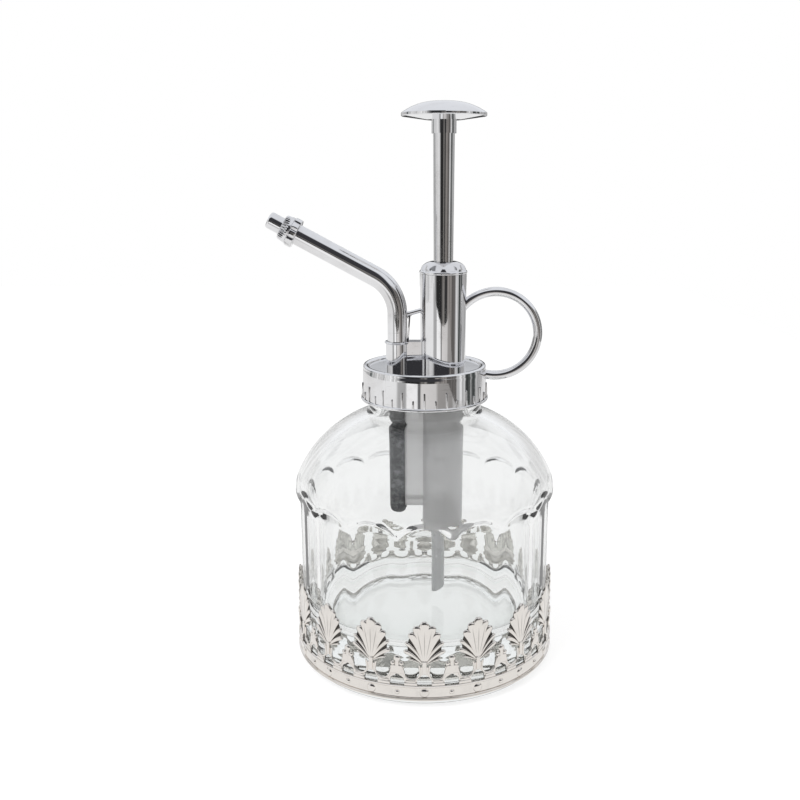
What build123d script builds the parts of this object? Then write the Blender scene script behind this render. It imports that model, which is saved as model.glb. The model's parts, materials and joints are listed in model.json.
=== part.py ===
from build123d import *

import os
from math import acos, cos, degrees, radians, sin, sqrt

# A glass sprinkler with a top pump. Lengths are in millimetres and angles in degrees.
# The origin is the centre of the foot, +Z is up, the spout points to -X and the finger ring to +X.

# Clearances
running_gap = 0.05
seat_gap = 0.05
press_gap = 0.02
face_gap = 0.05
band_gap = 0.2
overrun = 1.0

# Glass bottle
body_radius = 38.6
foot_step = 0.75
foot_height = 3.2
heel_radius = 1.4
flat_count = 16
flat_bottom = 4.0
ridge_top = 49.5
arch_rise = 3.5
arch_slope = 35.0
arch_spread = 0.4
shoulder_rise = 3.3
shoulder_flare = 0.7
shoulder_curve = 13.0
shoulder_turn = 27.0
dome_curve = 36.0
neck_radius = 16.75
neck_root = 2.0
neck_height = 8.75
lip_round = 0.8
glass_wall = 3.6
floor_thickness = 15.0
floor_corner = 7.0
punt_radius = 31.0
punt_depth = 1.6
punt_slope = 75.0

# Base band
band_bottom = 2.3
rail_height = 4.7
rail_thickness = 0.95
rail_lip = 0.7
rail_recess = 0.3
boss_height = 0.45
boss_slope = 20.0
boss_radius = 1.4
small_boss_radius = 0.8
motif_count = 16
motif_thickness = 0.5
motif_set = 0.1
strip_height = 1.5
strip_thickness = 0.75
leaf_bottom = 13.4
leaf_height = 12.6
leaf_tip_shares = ((0.0, 1.0), (0.227, 0.845), (0.346, 0.598), (0.377, 0.37), (0.285, 0.155))
leaf_notch_shares = ((0.103, 0.88), (0.258, 0.695), (0.326, 0.476), (0.294, 0.275), (0.17, 0.09))
stem_share = 0.075
notch_share = 0.144
window_height = 3.0
window_side = 1.2
window_share = 0.132
finial_height = 9.0
finial_neck = 3.0
finial_ball_share = 0.075
finial_foot_share = 0.16

# Neck gasket
gasket_thickness = 1.5

# Screw cap
thread_room = 0.55
cap_wall = 1.0
cap_height = 10.4
cap_taper = 0.45
cap_bead = 0.35
cap_bead_height = 1.0
cap_rim_height = 0.8
cap_rim_width = 1.9
cap_rim_round = 0.35
rib_count = 18
rib_width = 0.7
tall_rib_height = 5.4
short_rib_height = 3.2
rib_standout = 0.3

# Top plate, barrel, riser socket and web
plate_thickness = 1.6
plate_gap = 0.3
barrel_height = 27.6
barrel_base_radius = 6.7
barrel_top_radius = 6.85
barrel_bore = 5.65
socket_height = 7.6
socket_radius = 3.5
socket_lip = 0.35
web_width = 4.2

# Gland nut, rod seal and rod guide
gland_flange = 0.9
gland_flange_step = 0.15
gland_height = 3.4
gland_top_radius = 3.9
gland_flutes = 8
flute_radius = 1.5
flute_depth = 0.45
gland_plug = 2.8
rod_seal_height = 1.8
guide_flange = 1.2
guide_length = 14.6

# Plunger
rod_top_radius = 3.08
rod_gland_radius = 2.83
rod_stud_radius = 1.9
rod_stud_length = 5.0
collar_wall = 0.42
collar_height = 3.6
knob_radius = 12.1
knob_hub = 5.2
knob_dish = 1.0
knob_edge = 0.9
knob_dome = 3.2
knob_flat = 2.0
knob_round = 0.3
rod_socket = 2.6
stroke = 34.5
stroke_stop_gap = 1.4
piston_length = 8.0
piston_stop_gap = 0.3
groove_depth = 0.9
groove_width = 1.8

# Pump cylinder
flange_thickness = 1.2
flange_inset = 0.5
cylinder_bore = 4.9
cylinder_wall = 1.2
cylinder_gap_share = 0.174157
link_width = 3.2
link_rise = 2.5
port_radius = 0.7
port_level = 2.4

# Outlet channel
channel_radius = 2.6
channel_gap_share = 0.286517
channel_bore = 1.3
channel_rise = 4.4
channel_end = 1.8
channel_round = 2.1
channel_seal_height = 0.8

# Valves
valve_flange = 1.7
valve_throat = 1.0
inlet_ball_radius = 1.6
outlet_ball_radius = 1.75
ball_gap = 0.03
ball_lift = 1.0
chamber_gap = 0.45
seat_depth = 0.8
retainer_thickness = 0.8
retainer_slots = 3
retainer_slot_width = 1.0
retainer_slot_reach = 3.2

# Return spring
spring_wire = 0.4
spring_radius = 3.9
spring_turns = 7.5
spring_gap = 0.1
spring_room = 7.9
spring_sides = 4

# Dip tube
dip_radius = 2.5
dip_bore = 1.6
dip_socket = 2.9
dip_floor_gap = 3.0
dip_cut = 2.0

# Spout
spout_radius = 2.95
spout_bore = 1.6
spout_bend = 12.5
spout_corner = 23.2
spout_rise = 28.3
spout_reach = 32.7
tube_in_nozzle = 3.0

# Spout brace
brace_thickness = 1.4
brace_bar = 1.4
brace_level = 14.8
brace_slope = 1.6
brace_leg = 0.7
brace_gusset = 1.5

# Nozzle
nozzle_ring = 4.3
nozzle_ring_length = 2.2
nozzle_front_radius = 3.5
nozzle_step = 0.3
nozzle_length = 4.9
nozzle_scallops = 10
scallop_radius = 1.0
scallop_depth = 0.45
tip_radius = 2.45
tip_standout = 4.3
tip_round = 0.7
tip_orifice = 0.4
tip_chamber = 1.5
tip_head = 1.4
tip_flange = 0.7
washer_thickness = 0.6
swirl_in_tube = 1.5
swirl_slots = 3
swirl_slot = 0.5

# Finger ring
ring_radius = 12.5
ring_wire = 1.4
ring_reach = 15.5
ring_level = 9.7
ring_low_turn = -118.0
ring_high_turn = 142.0

# Bottle outline: the flats, the flare and the two arcs of the dome
flat_angle = 360.0 / flat_count
flat_apothem = body_radius * cos(radians(flat_angle / 2))
flat_half_width = body_radius * sin(radians(flat_angle / 2))
shoulder_level = ridge_top + shoulder_rise
shoulder_radius = body_radius + shoulder_flare
shoulder_centre = shoulder_radius - shoulder_curve
dome_centre_x = shoulder_centre + (shoulder_curve - dome_curve) * cos(radians(shoulder_turn))
dome_centre_z = shoulder_level + (shoulder_curve - dome_curve) * sin(radians(shoulder_turn))


def neck_turn(inset):
    """Angle on the dome's arc where it meets the neck, for a face that lies inset inside the glass."""
    return degrees(acos((neck_radius - inset - dome_centre_x) / (dome_curve - inset)))


def neck_corner(inset):
    """Height at which the dome meets the neck."""
    return dome_centre_z + (dome_curve - inset) * sin(radians(neck_turn(inset)))


def bottle_side(inset, low_radius, low, foot, top):
    """Half of the bottle's section, from the axis at the bottom to the axis at the top."""
    wide = body_radius - inset
    neck = neck_radius - inset
    dome_turn = neck_turn(inset) - shoulder_turn
    with BuildSketch() as side:
        with BuildLine():
            Polyline((0, low), (low_radius, low), (wide, foot), (wide, ridge_top))
            Line((wide, ridge_top), (shoulder_radius - inset, shoulder_level))
            CenterArc((shoulder_centre, shoulder_level), shoulder_curve - inset, 0, shoulder_turn)
            CenterArc((dome_centre_x, dome_centre_z), dome_curve - inset, shoulder_turn, dome_turn)
            Polyline((neck, neck_corner(inset)), (neck, top), (0, top), (0, low))
        make_face()
    return side.sketch


def corners(outline, low, high):
    """Corners of a half section that lie off the axis, between two heights."""
    return outline.vertices().filter_by(lambda v: v.X > neck_radius / 2 and low < v.Y < high)


# Places of the cylinder and the channel, side by side in the neck: each keeps its share of the free width
neck_inner = neck_radius - glass_wall
cylinder_radius = cylinder_bore + cylinder_wall
neck_room = 2 * (neck_inner - cylinder_radius - channel_radius)
pump_x = neck_inner - cylinder_radius - neck_room * cylinder_gap_share
riser_x = channel_radius + neck_room * channel_gap_share - neck_inner
ring_x = pump_x + ring_reach

# Levels of the head, all worked up from the bottle's rim
neck_top = neck_corner(0) + neck_height
gasket_bottom = neck_top + face_gap
gasket_top = gasket_bottom + gasket_thickness
flange_bottom = gasket_top + face_gap
plate_bottom = flange_bottom + flange_thickness
plate_top = plate_bottom + plate_thickness
plate_middle = plate_bottom + plate_thickness / 2
cap_top = plate_top + cap_rim_height
cap_bottom = cap_top - cap_height
cap_bore = neck_radius + thread_room
cap_top_radius = cap_bore + cap_wall
cap_skirt_radius = cap_top_radius + cap_taper
cap_bead_radius = cap_skirt_radius + cap_bead
plate_radius = cap_bore - plate_gap
barrel_top = plate_top + barrel_height
socket_top = plate_top + socket_height
gland_top = barrel_top + gland_height
liner_top = barrel_top - gland_plug - rod_seal_height - guide_flange
guide_top = liner_top + guide_flange
guide_bottom = liner_top - guide_length
rod_seal_top = guide_top + rod_seal_height
rod_bore = rod_top_radius + running_gap
insert_radius = barrel_bore - seat_gap
collar_bottom = gland_top + stroke + stroke_stop_gap
knob_bottom = collar_bottom + collar_height
knob_rim = knob_bottom + knob_dish + knob_edge
piston_top = guide_bottom - piston_stop_gap
piston_bottom = piston_top - piston_length
piston_radius = cylinder_bore - running_gap

# Levels of the foot valve: the piston's stroke and the squashed spring set its depth
retainer_top = piston_bottom - stroke - spring_room
valve_top = retainer_top - retainer_thickness
inlet_ball_level = valve_top - inlet_ball_radius - ball_lift - ball_gap
inlet_seat = inlet_ball_level - sqrt(inlet_ball_radius**2 - valve_throat**2) - ball_gap
valve_bottom = inlet_seat - dip_socket - seat_depth
cylinder_bottom = valve_bottom + valve_flange
channel_bottom = cylinder_bottom + channel_rise
port_height = retainer_top + port_level

# Levels of the outlet valve: like the inlet ball, the ball rests on the edge of its throat
outlet_seat = plate_bottom + channel_seal_height + seat_depth
outlet_ball_level = outlet_seat + sqrt(outlet_ball_radius**2 - channel_bore**2) + ball_gap
spout_bottom = outlet_ball_level + outlet_ball_radius + ball_lift + ball_gap

# Pump axis, riser axis and the section planes through them
pump_axis = Axis((pump_x, 0, 0), (0, 0, 1))
pump_section = Plane(origin=(pump_x, 0, 0), x_dir=(1, 0, 0), z_dir=(0, -1, 0))
riser_axis = Axis((riser_x, 0, 0), (0, 0, 1))
riser_section = Plane(origin=(riser_x, 0, 0), x_dir=(1, 0, 0), z_dir=(0, -1, 0))


def level(height, x=0):
    """Level work plane at a height, centred on the bottle's axis or on x."""
    return Plane.XY.offset(height).shift_origin((x, 0, height))


os.makedirs("parts", exist_ok=True)

# Glass bottle: turned outline, sixteen flats ending in arches, cavity and push-up under the floor
with BuildPart() as panel_tool:
    with BuildSketch(Plane.XZ.offset(flat_apothem)):
        half_width = flat_half_width + arch_spread
        with BuildLine():
            Polyline(
                (half_width, ridge_top),
                (half_width, flat_bottom),
                (-half_width, flat_bottom),
                (-half_width, ridge_top),
            )
            ThreePointArc((-half_width, ridge_top), (0, ridge_top + arch_rise), (half_width, ridge_top))
        make_face()
    extrude(amount=shoulder_radius - flat_apothem + overrun, taper=-arch_slope)

with BuildPart() as cavity_tool:
    with BuildSketch(Plane.XZ) as cavity_outline:
        inner_low = foot_height + floor_thickness
        add(bottle_side(glass_wall, body_radius - glass_wall, floor_thickness, inner_low, neck_top + overrun))
        fillet(corners(cavity_outline, 0, inner_low), floor_corner)
        fillet(corners(cavity_outline, neck_corner(glass_wall) - neck_root, neck_top), neck_root + glass_wall)
    revolve(axis=Axis.Z)

with BuildPart() as punt_tool:
    with BuildSketch(Plane.XY.offset(-overrun)):
        Circle(punt_radius)
    extrude(amount=overrun)
    with BuildSketch(Plane.XY):
        Circle(punt_radius)
    extrude(amount=punt_depth, taper=punt_slope)

with BuildPart() as glass_bottle:
    with BuildSketch(Plane.XZ) as bottle_outline:
        add(bottle_side(0, body_radius - foot_step, 0, foot_height, neck_top))
        fillet(corners(bottle_outline, neck_corner(0) - neck_root, neck_corner(0) + neck_root), neck_root)
        fillet(corners(bottle_outline, -overrun, foot_height / 2), heel_radius)
        fillet(corners(bottle_outline, neck_top - lip_round, neck_top + overrun), lip_round)
    revolve(axis=Axis.Z)
    with PolarLocations(0, flat_count):
        add(panel_tool.part, mode=Mode.SUBTRACT)
    add(cavity_tool.part, mode=Mode.SUBTRACT)
    add(punt_tool.part, mode=Mode.SUBTRACT)
glass_bottle.part.label = "glass_bottle"
export_step(glass_bottle.part, "parts/glass_bottle.step")

# Base band: a rail with lips and bosses, a strip with gabled windows, and on each flat of the glass
# a palmette and half of the two finials beside it, all stamped flat against the flats
band_inner = body_radius + band_gap
rail_outer = band_inner + rail_thickness
rail_field = rail_outer - rail_recess
rail_top = band_bottom + rail_height
strip_top = rail_top + strip_height
motif_inner = band_inner + motif_set
motif_root = rail_top - rail_lip
motif_angle = 360.0 / motif_count
motif_pitch = 2 * motif_inner * sin(radians(motif_angle / 2))
stem_side = motif_pitch * stem_share
notch_radius = motif_pitch * notch_share
notch_top = strip_top + 2 * notch_radius
notch_side = stem_side + 2 * notch_radius
leaf_end = leaf_bottom + leaf_height * leaf_notch_shares[-1][1]
finial_top = rail_top + finial_height
finial_shoulder = finial_top - finial_neck
finial_ball = motif_pitch * finial_ball_share
finial_foot = motif_pitch * finial_foot_share


def leaf_point(share, side):
    """Point of the leaf's edge from its share of the motif's pitch and of the leaf's height."""
    return (side * share[0] * motif_pitch, leaf_bottom + share[1] * leaf_height)


with BuildPart() as palmette:
    with BuildSketch(Plane.XZ.offset(motif_inner)):
        with BuildLine():
            for side in (-1, 1):
                first = (0, leaf_bottom + leaf_height)
                tips = [leaf_point(share, side) for share in leaf_tip_shares[1:]]
                notches = [leaf_point(share, side) for share in leaf_notch_shares]
                for start, tip, end in zip(notches, tips, notches[1:]):
                    ThreePointArc(start, tip, end)
                Line(notches[-1], (side * stem_side, leaf_end - stem_side))
                Line((side * stem_side, leaf_end - stem_side), (side * stem_side, notch_top - notch_radius))
                ThreePointArc(
                    (side * stem_side, notch_top - notch_radius),
                    (side * (stem_side + notch_radius), notch_top - 2 * notch_radius),
                    (side * notch_side, notch_top - notch_radius),
                )
                Line((side * notch_side, notch_top - notch_radius), (side * notch_side, motif_root))
            ThreePointArc(leaf_point(leaf_notch_shares[0], -1), first, leaf_point(leaf_notch_shares[0], 1))
            Line((-notch_side, motif_root), (notch_side, motif_root))
        make_face()
    extrude(amount=motif_thickness)

with BuildPart() as finial:
    with BuildSketch(Plane.XZ.offset(motif_inner)):
        with BuildLine():
            Polyline(
                (-finial_foot, motif_root),
                (finial_foot, motif_root),
                (finial_foot, strip_top + notch_radius),
                (finial_ball / 2, finial_shoulder),
                (finial_ball / 2, finial_top - finial_ball),
                (-finial_ball / 2, finial_top - finial_ball),
                (-finial_ball / 2, finial_shoulder),
                (-finial_foot, strip_top + notch_radius),
                close=True,
            )
        make_face()
        with Locations((0, finial_top - finial_ball)):
            Circle(finial_ball)
    extrude(amount=motif_thickness)

with BuildPart() as window_tool:
    with BuildSketch(Plane.XZ.offset(band_inner - overrun)):
        with BuildLine():
            half_window = motif_pitch * window_share
            window_bottom = rail_top + rail_lip / 2
            Polyline(
                (-half_window, window_bottom),
                (half_window, window_bottom),
                (half_window, window_bottom + window_side),
                (0, window_bottom + window_height),
                (-half_window, window_bottom + window_side),
                close=True,
            )
        make_face()
    extrude(amount=rail_thickness + 2 * overrun)

with BuildPart() as large_boss:
    with BuildSketch(Plane.XZ.offset(rail_field - rail_thickness / 2)):
        with Locations((0, (band_bottom + rail_top) / 2)):
            Circle(boss_radius)
    extrude(amount=rail_thickness / 2 + boss_height, taper=boss_slope)

with BuildPart() as small_boss:
    with BuildSketch(Plane.XZ.offset(rail_field - rail_thickness / 2)):
        with Locations((0, (band_bottom + rail_top) / 2)):
            Circle(small_boss_radius)
    extrude(amount=rail_thickness / 2 + boss_height, taper=boss_slope)

with BuildPart() as base_band:
    with BuildSketch(Plane.XZ):
        with BuildLine():
            Polyline(
                (band_inner, band_bottom),
                (rail_outer, band_bottom),
                (rail_outer, band_bottom + rail_lip),
                (rail_field, band_bottom + rail_lip),
                (rail_field, rail_top - rail_lip),
                (rail_outer, rail_top - rail_lip),
                (rail_outer, rail_top),
                (band_inner + strip_thickness, rail_top),
                (band_inner + strip_thickness, strip_top),
                (band_inner, strip_top),
                close=True,
            )
        make_face()
    revolve(axis=Axis.Z)
    with PolarLocations(0, motif_count):
        add(palmette.part)
        add(large_boss.part)
    with PolarLocations(0, motif_count, start_angle=motif_angle / 2):
        add(finial.part)
        add(small_boss.part)
    with PolarLocations(0, 2 * motif_count):
        add(window_tool.part, mode=Mode.SUBTRACT)
base_band.part.label = "base_band"
export_step(base_band.part, "parts/base_band.step")

# Neck gasket
with BuildPart() as neck_gasket:
    with BuildSketch(level(gasket_bottom)):
        Circle(neck_radius)
        Circle(neck_radius - glass_wall, mode=Mode.SUBTRACT)
    extrude(amount=gasket_thickness)
neck_gasket.part.label = "neck_gasket"
export_step(neck_gasket.part, "parts/neck_gasket.step")

# Screw cap: tapered skirt with a bottom bead, a raised top rim, and tall and short ribs in turn
rib_root = cap_bore + cap_wall / 2
rib_reach = cap_skirt_radius + rib_standout - rib_root

with BuildPart() as tall_rib:
    with BuildSketch(Plane.XZ.offset(rib_root)):
        with Locations((0, cap_bottom + tall_rib_height / 2)):
            Rectangle(rib_width, tall_rib_height)
    extrude(amount=rib_reach)

with BuildPart() as short_rib:
    with BuildSketch(Plane.XZ.offset(rib_root)):
        with Locations((0, cap_bottom + short_rib_height / 2)):
            Rectangle(rib_width, short_rib_height)
    extrude(amount=rib_reach)

with BuildPart() as cap_envelope:
    with BuildSketch(Plane.XZ) as cap_outline:
        with BuildLine():
            Polyline(
                (0, cap_bottom),
                (cap_bead_radius, cap_bottom),
                (cap_bead_radius, cap_bottom + cap_bead_height),
                (cap_skirt_radius, cap_bottom + cap_bead_height),
                (cap_top_radius, cap_top),
                (0, cap_top),
                close=True,
            )
        make_face()
        fillet(corners(cap_outline, cap_top - cap_rim_height, cap_top + overrun), cap_rim_round)
    revolve(axis=Axis.Z)

with BuildPart() as screw_cap:
    add(cap_envelope.part)
    with PolarLocations(0, rib_count):
        add(tall_rib.part)
    with PolarLocations(0, rib_count, start_angle=180 / rib_count):
        add(short_rib.part)
    with BuildSketch(level(cap_bottom - overrun)):
        Circle(cap_bore)
    extrude(amount=plate_top - cap_bottom + overrun, mode=Mode.SUBTRACT)
    with BuildSketch(level(cap_bottom)):
        Circle(cap_top_radius - cap_rim_width)
    extrude(amount=cap_height + overrun, mode=Mode.SUBTRACT)
screw_cap.part.label = "screw_cap"
export_step(screw_cap.part, "parts/screw_cap.step")

# Top plate with the barrel, the riser socket and the web between them
with BuildPart() as barrel_envelope:
    with BuildSketch(pump_section):
        with BuildLine():
            Polyline(
                (0, plate_middle),
                (barrel_base_radius, plate_middle),
                (barrel_base_radius, plate_top),
                (barrel_top_radius, barrel_top),
                (0, barrel_top),
                close=True,
            )
        make_face()
    revolve(axis=pump_axis)

with BuildPart() as pump_barrel:
    with BuildSketch(level(plate_bottom)):
        Circle(plate_radius)
    extrude(amount=plate_thickness)
    add(barrel_envelope.part)
    with BuildSketch(level(plate_middle, riser_x)):
        Circle(socket_radius)
    extrude(amount=socket_top - plate_middle)
    with BuildSketch(riser_section):
        with Locations((socket_radius, socket_top - socket_lip)):
            Circle(socket_lip)
    revolve(axis=riser_axis)
    with BuildSketch(level(plate_middle, (riser_x + pump_x) / 2)):
        Rectangle(pump_x - riser_x, web_width)
    extrude(amount=socket_top - plate_middle)
    with BuildSketch(level(plate_bottom - overrun, pump_x)):
        Circle(barrel_bore)
    extrude(amount=barrel_top - plate_bottom + 2 * overrun, mode=Mode.SUBTRACT)
    for low, high, radius in (
        (plate_bottom - overrun, plate_bottom + channel_seal_height, channel_radius + seat_gap),
        (plate_bottom, outlet_seat, channel_bore),
        (outlet_seat, spout_bottom, outlet_ball_radius + chamber_gap),
        (spout_bottom, socket_top + overrun, spout_radius + seat_gap),
    ):
        with BuildSketch(level(low, riser_x)):
            Circle(radius)
        extrude(amount=high - low, mode=Mode.SUBTRACT)
pump_barrel.part.label = "pump_barrel"
export_step(pump_barrel.part, "parts/pump_barrel.step")

# Gland nut: plug, flange and fluted dome
with BuildPart() as gland_nut:
    with BuildSketch(pump_section):
        with BuildLine():
            flange_top = barrel_top + gland_flange
            flange_edge = barrel_top_radius + gland_flange_step
            Polyline(
                (rod_bore, gland_top),
                (rod_bore, rod_seal_top),
                (insert_radius, rod_seal_top),
                (insert_radius, barrel_top),
                (flange_edge, barrel_top),
                (flange_edge, flange_top),
                (barrel_top_radius, flange_top),
            )
            RadiusArc((barrel_top_radius, flange_top), (gland_top_radius, gland_top), -barrel_top_radius)
            Line((gland_top_radius, gland_top), (rod_bore, gland_top))
        make_face()
    revolve(axis=pump_axis)
    dome_reach = barrel_top_radius - gland_top_radius
    dome_rise = gland_height - gland_flange
    dome_length = sqrt(dome_reach**2 + dome_rise**2)
    dome_slope = degrees(acos(dome_rise / dome_length))
    flute_place = (barrel_top_radius + gland_top_radius) / 2 + flute_radius - flute_depth
    with Locations((pump_x, 0, flange_top + dome_rise / 2 + flute_radius - flute_depth)):
        with PolarLocations(flute_place, gland_flutes):
            Cylinder(flute_radius, 2 * dome_length, rotation=(0, -dome_slope, 0), mode=Mode.SUBTRACT)
gland_nut.part.label = "gland_nut"
export_step(gland_nut.part, "parts/gland_nut.step")

# Rod seal and rod guide under the gland nut
with BuildPart() as rod_seal:
    with BuildSketch(level(guide_top, pump_x)):
        Circle(insert_radius)
        Circle(rod_bore, mode=Mode.SUBTRACT)
    extrude(amount=rod_seal_height)
rod_seal.part.label = "rod_seal"
export_step(rod_seal.part, "parts/rod_seal.step")

with BuildPart() as rod_guide:
    with BuildSketch(level(guide_bottom, pump_x)):
        Circle(cylinder_bore - seat_gap)
    extrude(amount=guide_length)
    with BuildSketch(level(liner_top, pump_x)):
        Circle(insert_radius)
    extrude(amount=guide_flange)
    with BuildSketch(level(guide_bottom - overrun, pump_x)):
        Circle(rod_bore)
    extrude(amount=guide_top - guide_bottom + 2 * overrun, mode=Mode.SUBTRACT)
rod_guide.part.label = "rod_guide"
export_step(rod_guide.part, "parts/rod_guide.step")

# Plunger: tapered rod, collar, thumb knob, piston and its seal
with BuildPart() as plunger_rod:
    with BuildSketch(pump_section):
        with BuildLine():
            Polyline(
                (0, piston_top - rod_stud_length),
                (rod_stud_radius, piston_top - rod_stud_length),
                (rod_stud_radius, piston_top),
                (rod_gland_radius, piston_top),
                (rod_gland_radius, gland_top),
                (rod_top_radius, collar_bottom),
                (rod_top_radius, knob_bottom + rod_socket),
                (0, knob_bottom + rod_socket),
                close=True,
            )
        make_face()
    revolve(axis=pump_axis)
plunger_rod.part.label = "plunger_rod"
export_step(plunger_rod.part, "parts/plunger_rod.step")

with BuildPart() as rod_collar:
    with BuildSketch(level(collar_bottom, pump_x)):
        Circle(rod_top_radius + press_gap + collar_wall)
        Circle(rod_top_radius + press_gap, mode=Mode.SUBTRACT)
    extrude(amount=collar_height)
rod_collar.part.label = "rod_collar"
export_step(rod_collar.part, "parts/rod_collar.step")

with BuildPart() as thumb_knob:
    with BuildSketch(pump_section) as knob_outline:
        with BuildLine():
            Polyline(
                (0, knob_rim + knob_dome),
                (0, knob_bottom + rod_socket),
                (rod_top_radius + press_gap, knob_bottom + rod_socket),
                (rod_top_radius + press_gap, knob_bottom),
                (knob_hub, knob_bottom),
                (knob_radius, knob_bottom + knob_dish),
                (knob_radius, knob_rim),
            )
            dome_sag = (knob_radius - knob_flat) ** 2 + knob_dome**2
            RadiusArc((knob_radius, knob_rim), (knob_flat, knob_rim + knob_dome), -dome_sag / (2 * knob_dome))
            Line((knob_flat, knob_rim + knob_dome), (0, knob_rim + knob_dome))
        make_face()
        fillet(knob_outline.vertices().filter_by(lambda v: v.X > knob_hub + knob_dish), knob_round)
    revolve(axis=pump_axis)
thumb_knob.part.label = "thumb_knob"
export_step(thumb_knob.part, "parts/thumb_knob.step")

groove_bottom = (piston_top + piston_bottom - groove_width) / 2
with BuildPart() as piston:
    with BuildSketch(level(piston_bottom, pump_x)):
        Circle(piston_radius)
    extrude(amount=piston_length)
    with BuildSketch(level(groove_bottom, pump_x)):
        Circle(piston_radius + overrun)
        Circle(piston_radius - groove_depth, mode=Mode.SUBTRACT)
    extrude(amount=groove_width, mode=Mode.SUBTRACT)
    with BuildSketch(level(piston_top - rod_stud_length, pump_x)):
        Circle(rod_stud_radius + press_gap)
    extrude(amount=rod_stud_length + overrun, mode=Mode.SUBTRACT)
piston.part.label = "piston"
export_step(piston.part, "parts/piston.step")

with BuildPart() as piston_seal:
    with BuildSketch(level(groove_bottom + press_gap, pump_x)):
        Circle(piston_radius + press_gap)
        Circle(piston_radius - groove_depth + press_gap, mode=Mode.SUBTRACT)
    extrude(amount=groove_width - 2 * press_gap)
piston_seal.part.label = "piston_seal"
export_step(piston_seal.part, "parts/piston_seal.step")

# Pump cylinder: flange on the gasket, liner up in the barrel, web to the outlet channel, cross port
with BuildPart() as pump_cylinder:
    with BuildSketch(level(flange_bottom)):
        Circle(neck_radius - flange_inset)
    extrude(amount=flange_thickness)
    with BuildSketch(level(cylinder_bottom, pump_x)):
        Circle(cylinder_radius)
    extrude(amount=plate_bottom - cylinder_bottom)
    with BuildSketch(level(plate_bottom, pump_x)):
        Circle(insert_radius)
    extrude(amount=liner_top - plate_bottom)
    with BuildSketch(level(channel_bottom + link_rise, (riser_x + pump_x) / 2)):
        Rectangle(pump_x - riser_x, link_width)
    extrude(amount=flange_bottom - channel_bottom - link_rise + flange_thickness / 2)
    with BuildSketch(level(cylinder_bottom - overrun, pump_x)):
        Circle(cylinder_bore)
    extrude(amount=liner_top - cylinder_bottom + 2 * overrun, mode=Mode.SUBTRACT)
    with BuildSketch(level(channel_bottom - overrun, riser_x)):
        Circle(channel_radius + seat_gap)
    extrude(amount=plate_bottom - channel_bottom + 2 * overrun, mode=Mode.SUBTRACT)
    with BuildSketch(Plane.YZ.offset(riser_x)):
        with Locations((0, port_height)):
            Circle(port_radius)
    extrude(amount=pump_x - riser_x, mode=Mode.SUBTRACT)
pump_cylinder.part.label = "pump_cylinder"
export_step(pump_cylinder.part, "parts/pump_cylinder.step")

# Outlet channel with its closed round end, and the seal between it and the top plate
with BuildPart() as outlet_channel:
    with BuildSketch(riser_section) as channel_outline:
        with Locations((channel_radius / 2, (channel_bottom + plate_bottom) / 2)):
            Rectangle(channel_radius, plate_bottom - channel_bottom)
        end_corner = channel_outline.vertices().filter_by(
            lambda v: v.X > channel_radius / 2 and v.Y < channel_bottom + channel_radius
        )
        fillet(end_corner, channel_round)
    revolve(axis=riser_axis)
    with BuildSketch(level(channel_bottom + channel_end, riser_x)):
        Circle(channel_bore)
    extrude(amount=plate_bottom - channel_bottom, mode=Mode.SUBTRACT)
    with BuildSketch(Plane.YZ.offset(riser_x)):
        with Locations((0, port_height)):
            Circle(port_radius)
    extrude(amount=channel_radius + overrun, mode=Mode.SUBTRACT)
outlet_channel.part.label = "outlet_channel"
export_step(outlet_channel.part, "parts/outlet_channel.step")

with BuildPart() as channel_seal:
    with BuildSketch(level(plate_bottom, riser_x)):
        Circle(channel_radius)
        Circle(channel_bore, mode=Mode.SUBTRACT)
    extrude(amount=channel_seal_height)
channel_seal.part.label = "channel_seal"
export_step(channel_seal.part, "parts/channel_seal.step")

# Foot valve: housing, ball, slotted retainer and dip tube
with BuildPart() as foot_valve_housing:
    with BuildSketch(level(valve_bottom, pump_x)):
        Circle(cylinder_radius)
    extrude(amount=valve_flange)
    with BuildSketch(level(cylinder_bottom, pump_x)):
        Circle(cylinder_bore - press_gap)
    extrude(amount=valve_top - cylinder_bottom)
    for low, high, radius in (
        (valve_bottom - overrun, valve_bottom + dip_socket, dip_radius + press_gap),
        (valve_bottom, inlet_seat, valve_throat),
        (inlet_seat, valve_top + overrun, inlet_ball_radius + chamber_gap),
    ):
        with BuildSketch(level(low, pump_x)):
            Circle(radius)
        extrude(amount=high - low, mode=Mode.SUBTRACT)
foot_valve_housing.part.label = "foot_valve_housing"
export_step(foot_valve_housing.part, "parts/foot_valve_housing.step")

with BuildPart() as inlet_ball:
    with Locations((pump_x, 0, inlet_ball_level)):
        Sphere(inlet_ball_radius)
inlet_ball.part.label = "inlet_ball"
export_step(inlet_ball.part, "parts/inlet_ball.step")

with BuildPart() as outlet_ball:
    with Locations((riser_x, 0, outlet_ball_level)):
        Sphere(outlet_ball_radius)
outlet_ball.part.label = "outlet_ball"
export_step(outlet_ball.part, "parts/outlet_ball.step")

with BuildPart() as valve_retainer:
    with BuildSketch(level(valve_top, pump_x)):
        Circle(cylinder_bore - press_gap)
        with PolarLocations((retainer_slot_reach + retainer_slot_width) / 2, retainer_slots):
            Rectangle(retainer_slot_reach - retainer_slot_width, retainer_slot_width, mode=Mode.SUBTRACT)
    extrude(amount=retainer_thickness)
valve_retainer.part.label = "valve_retainer"
export_step(valve_retainer.part, "parts/valve_retainer.step")

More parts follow.
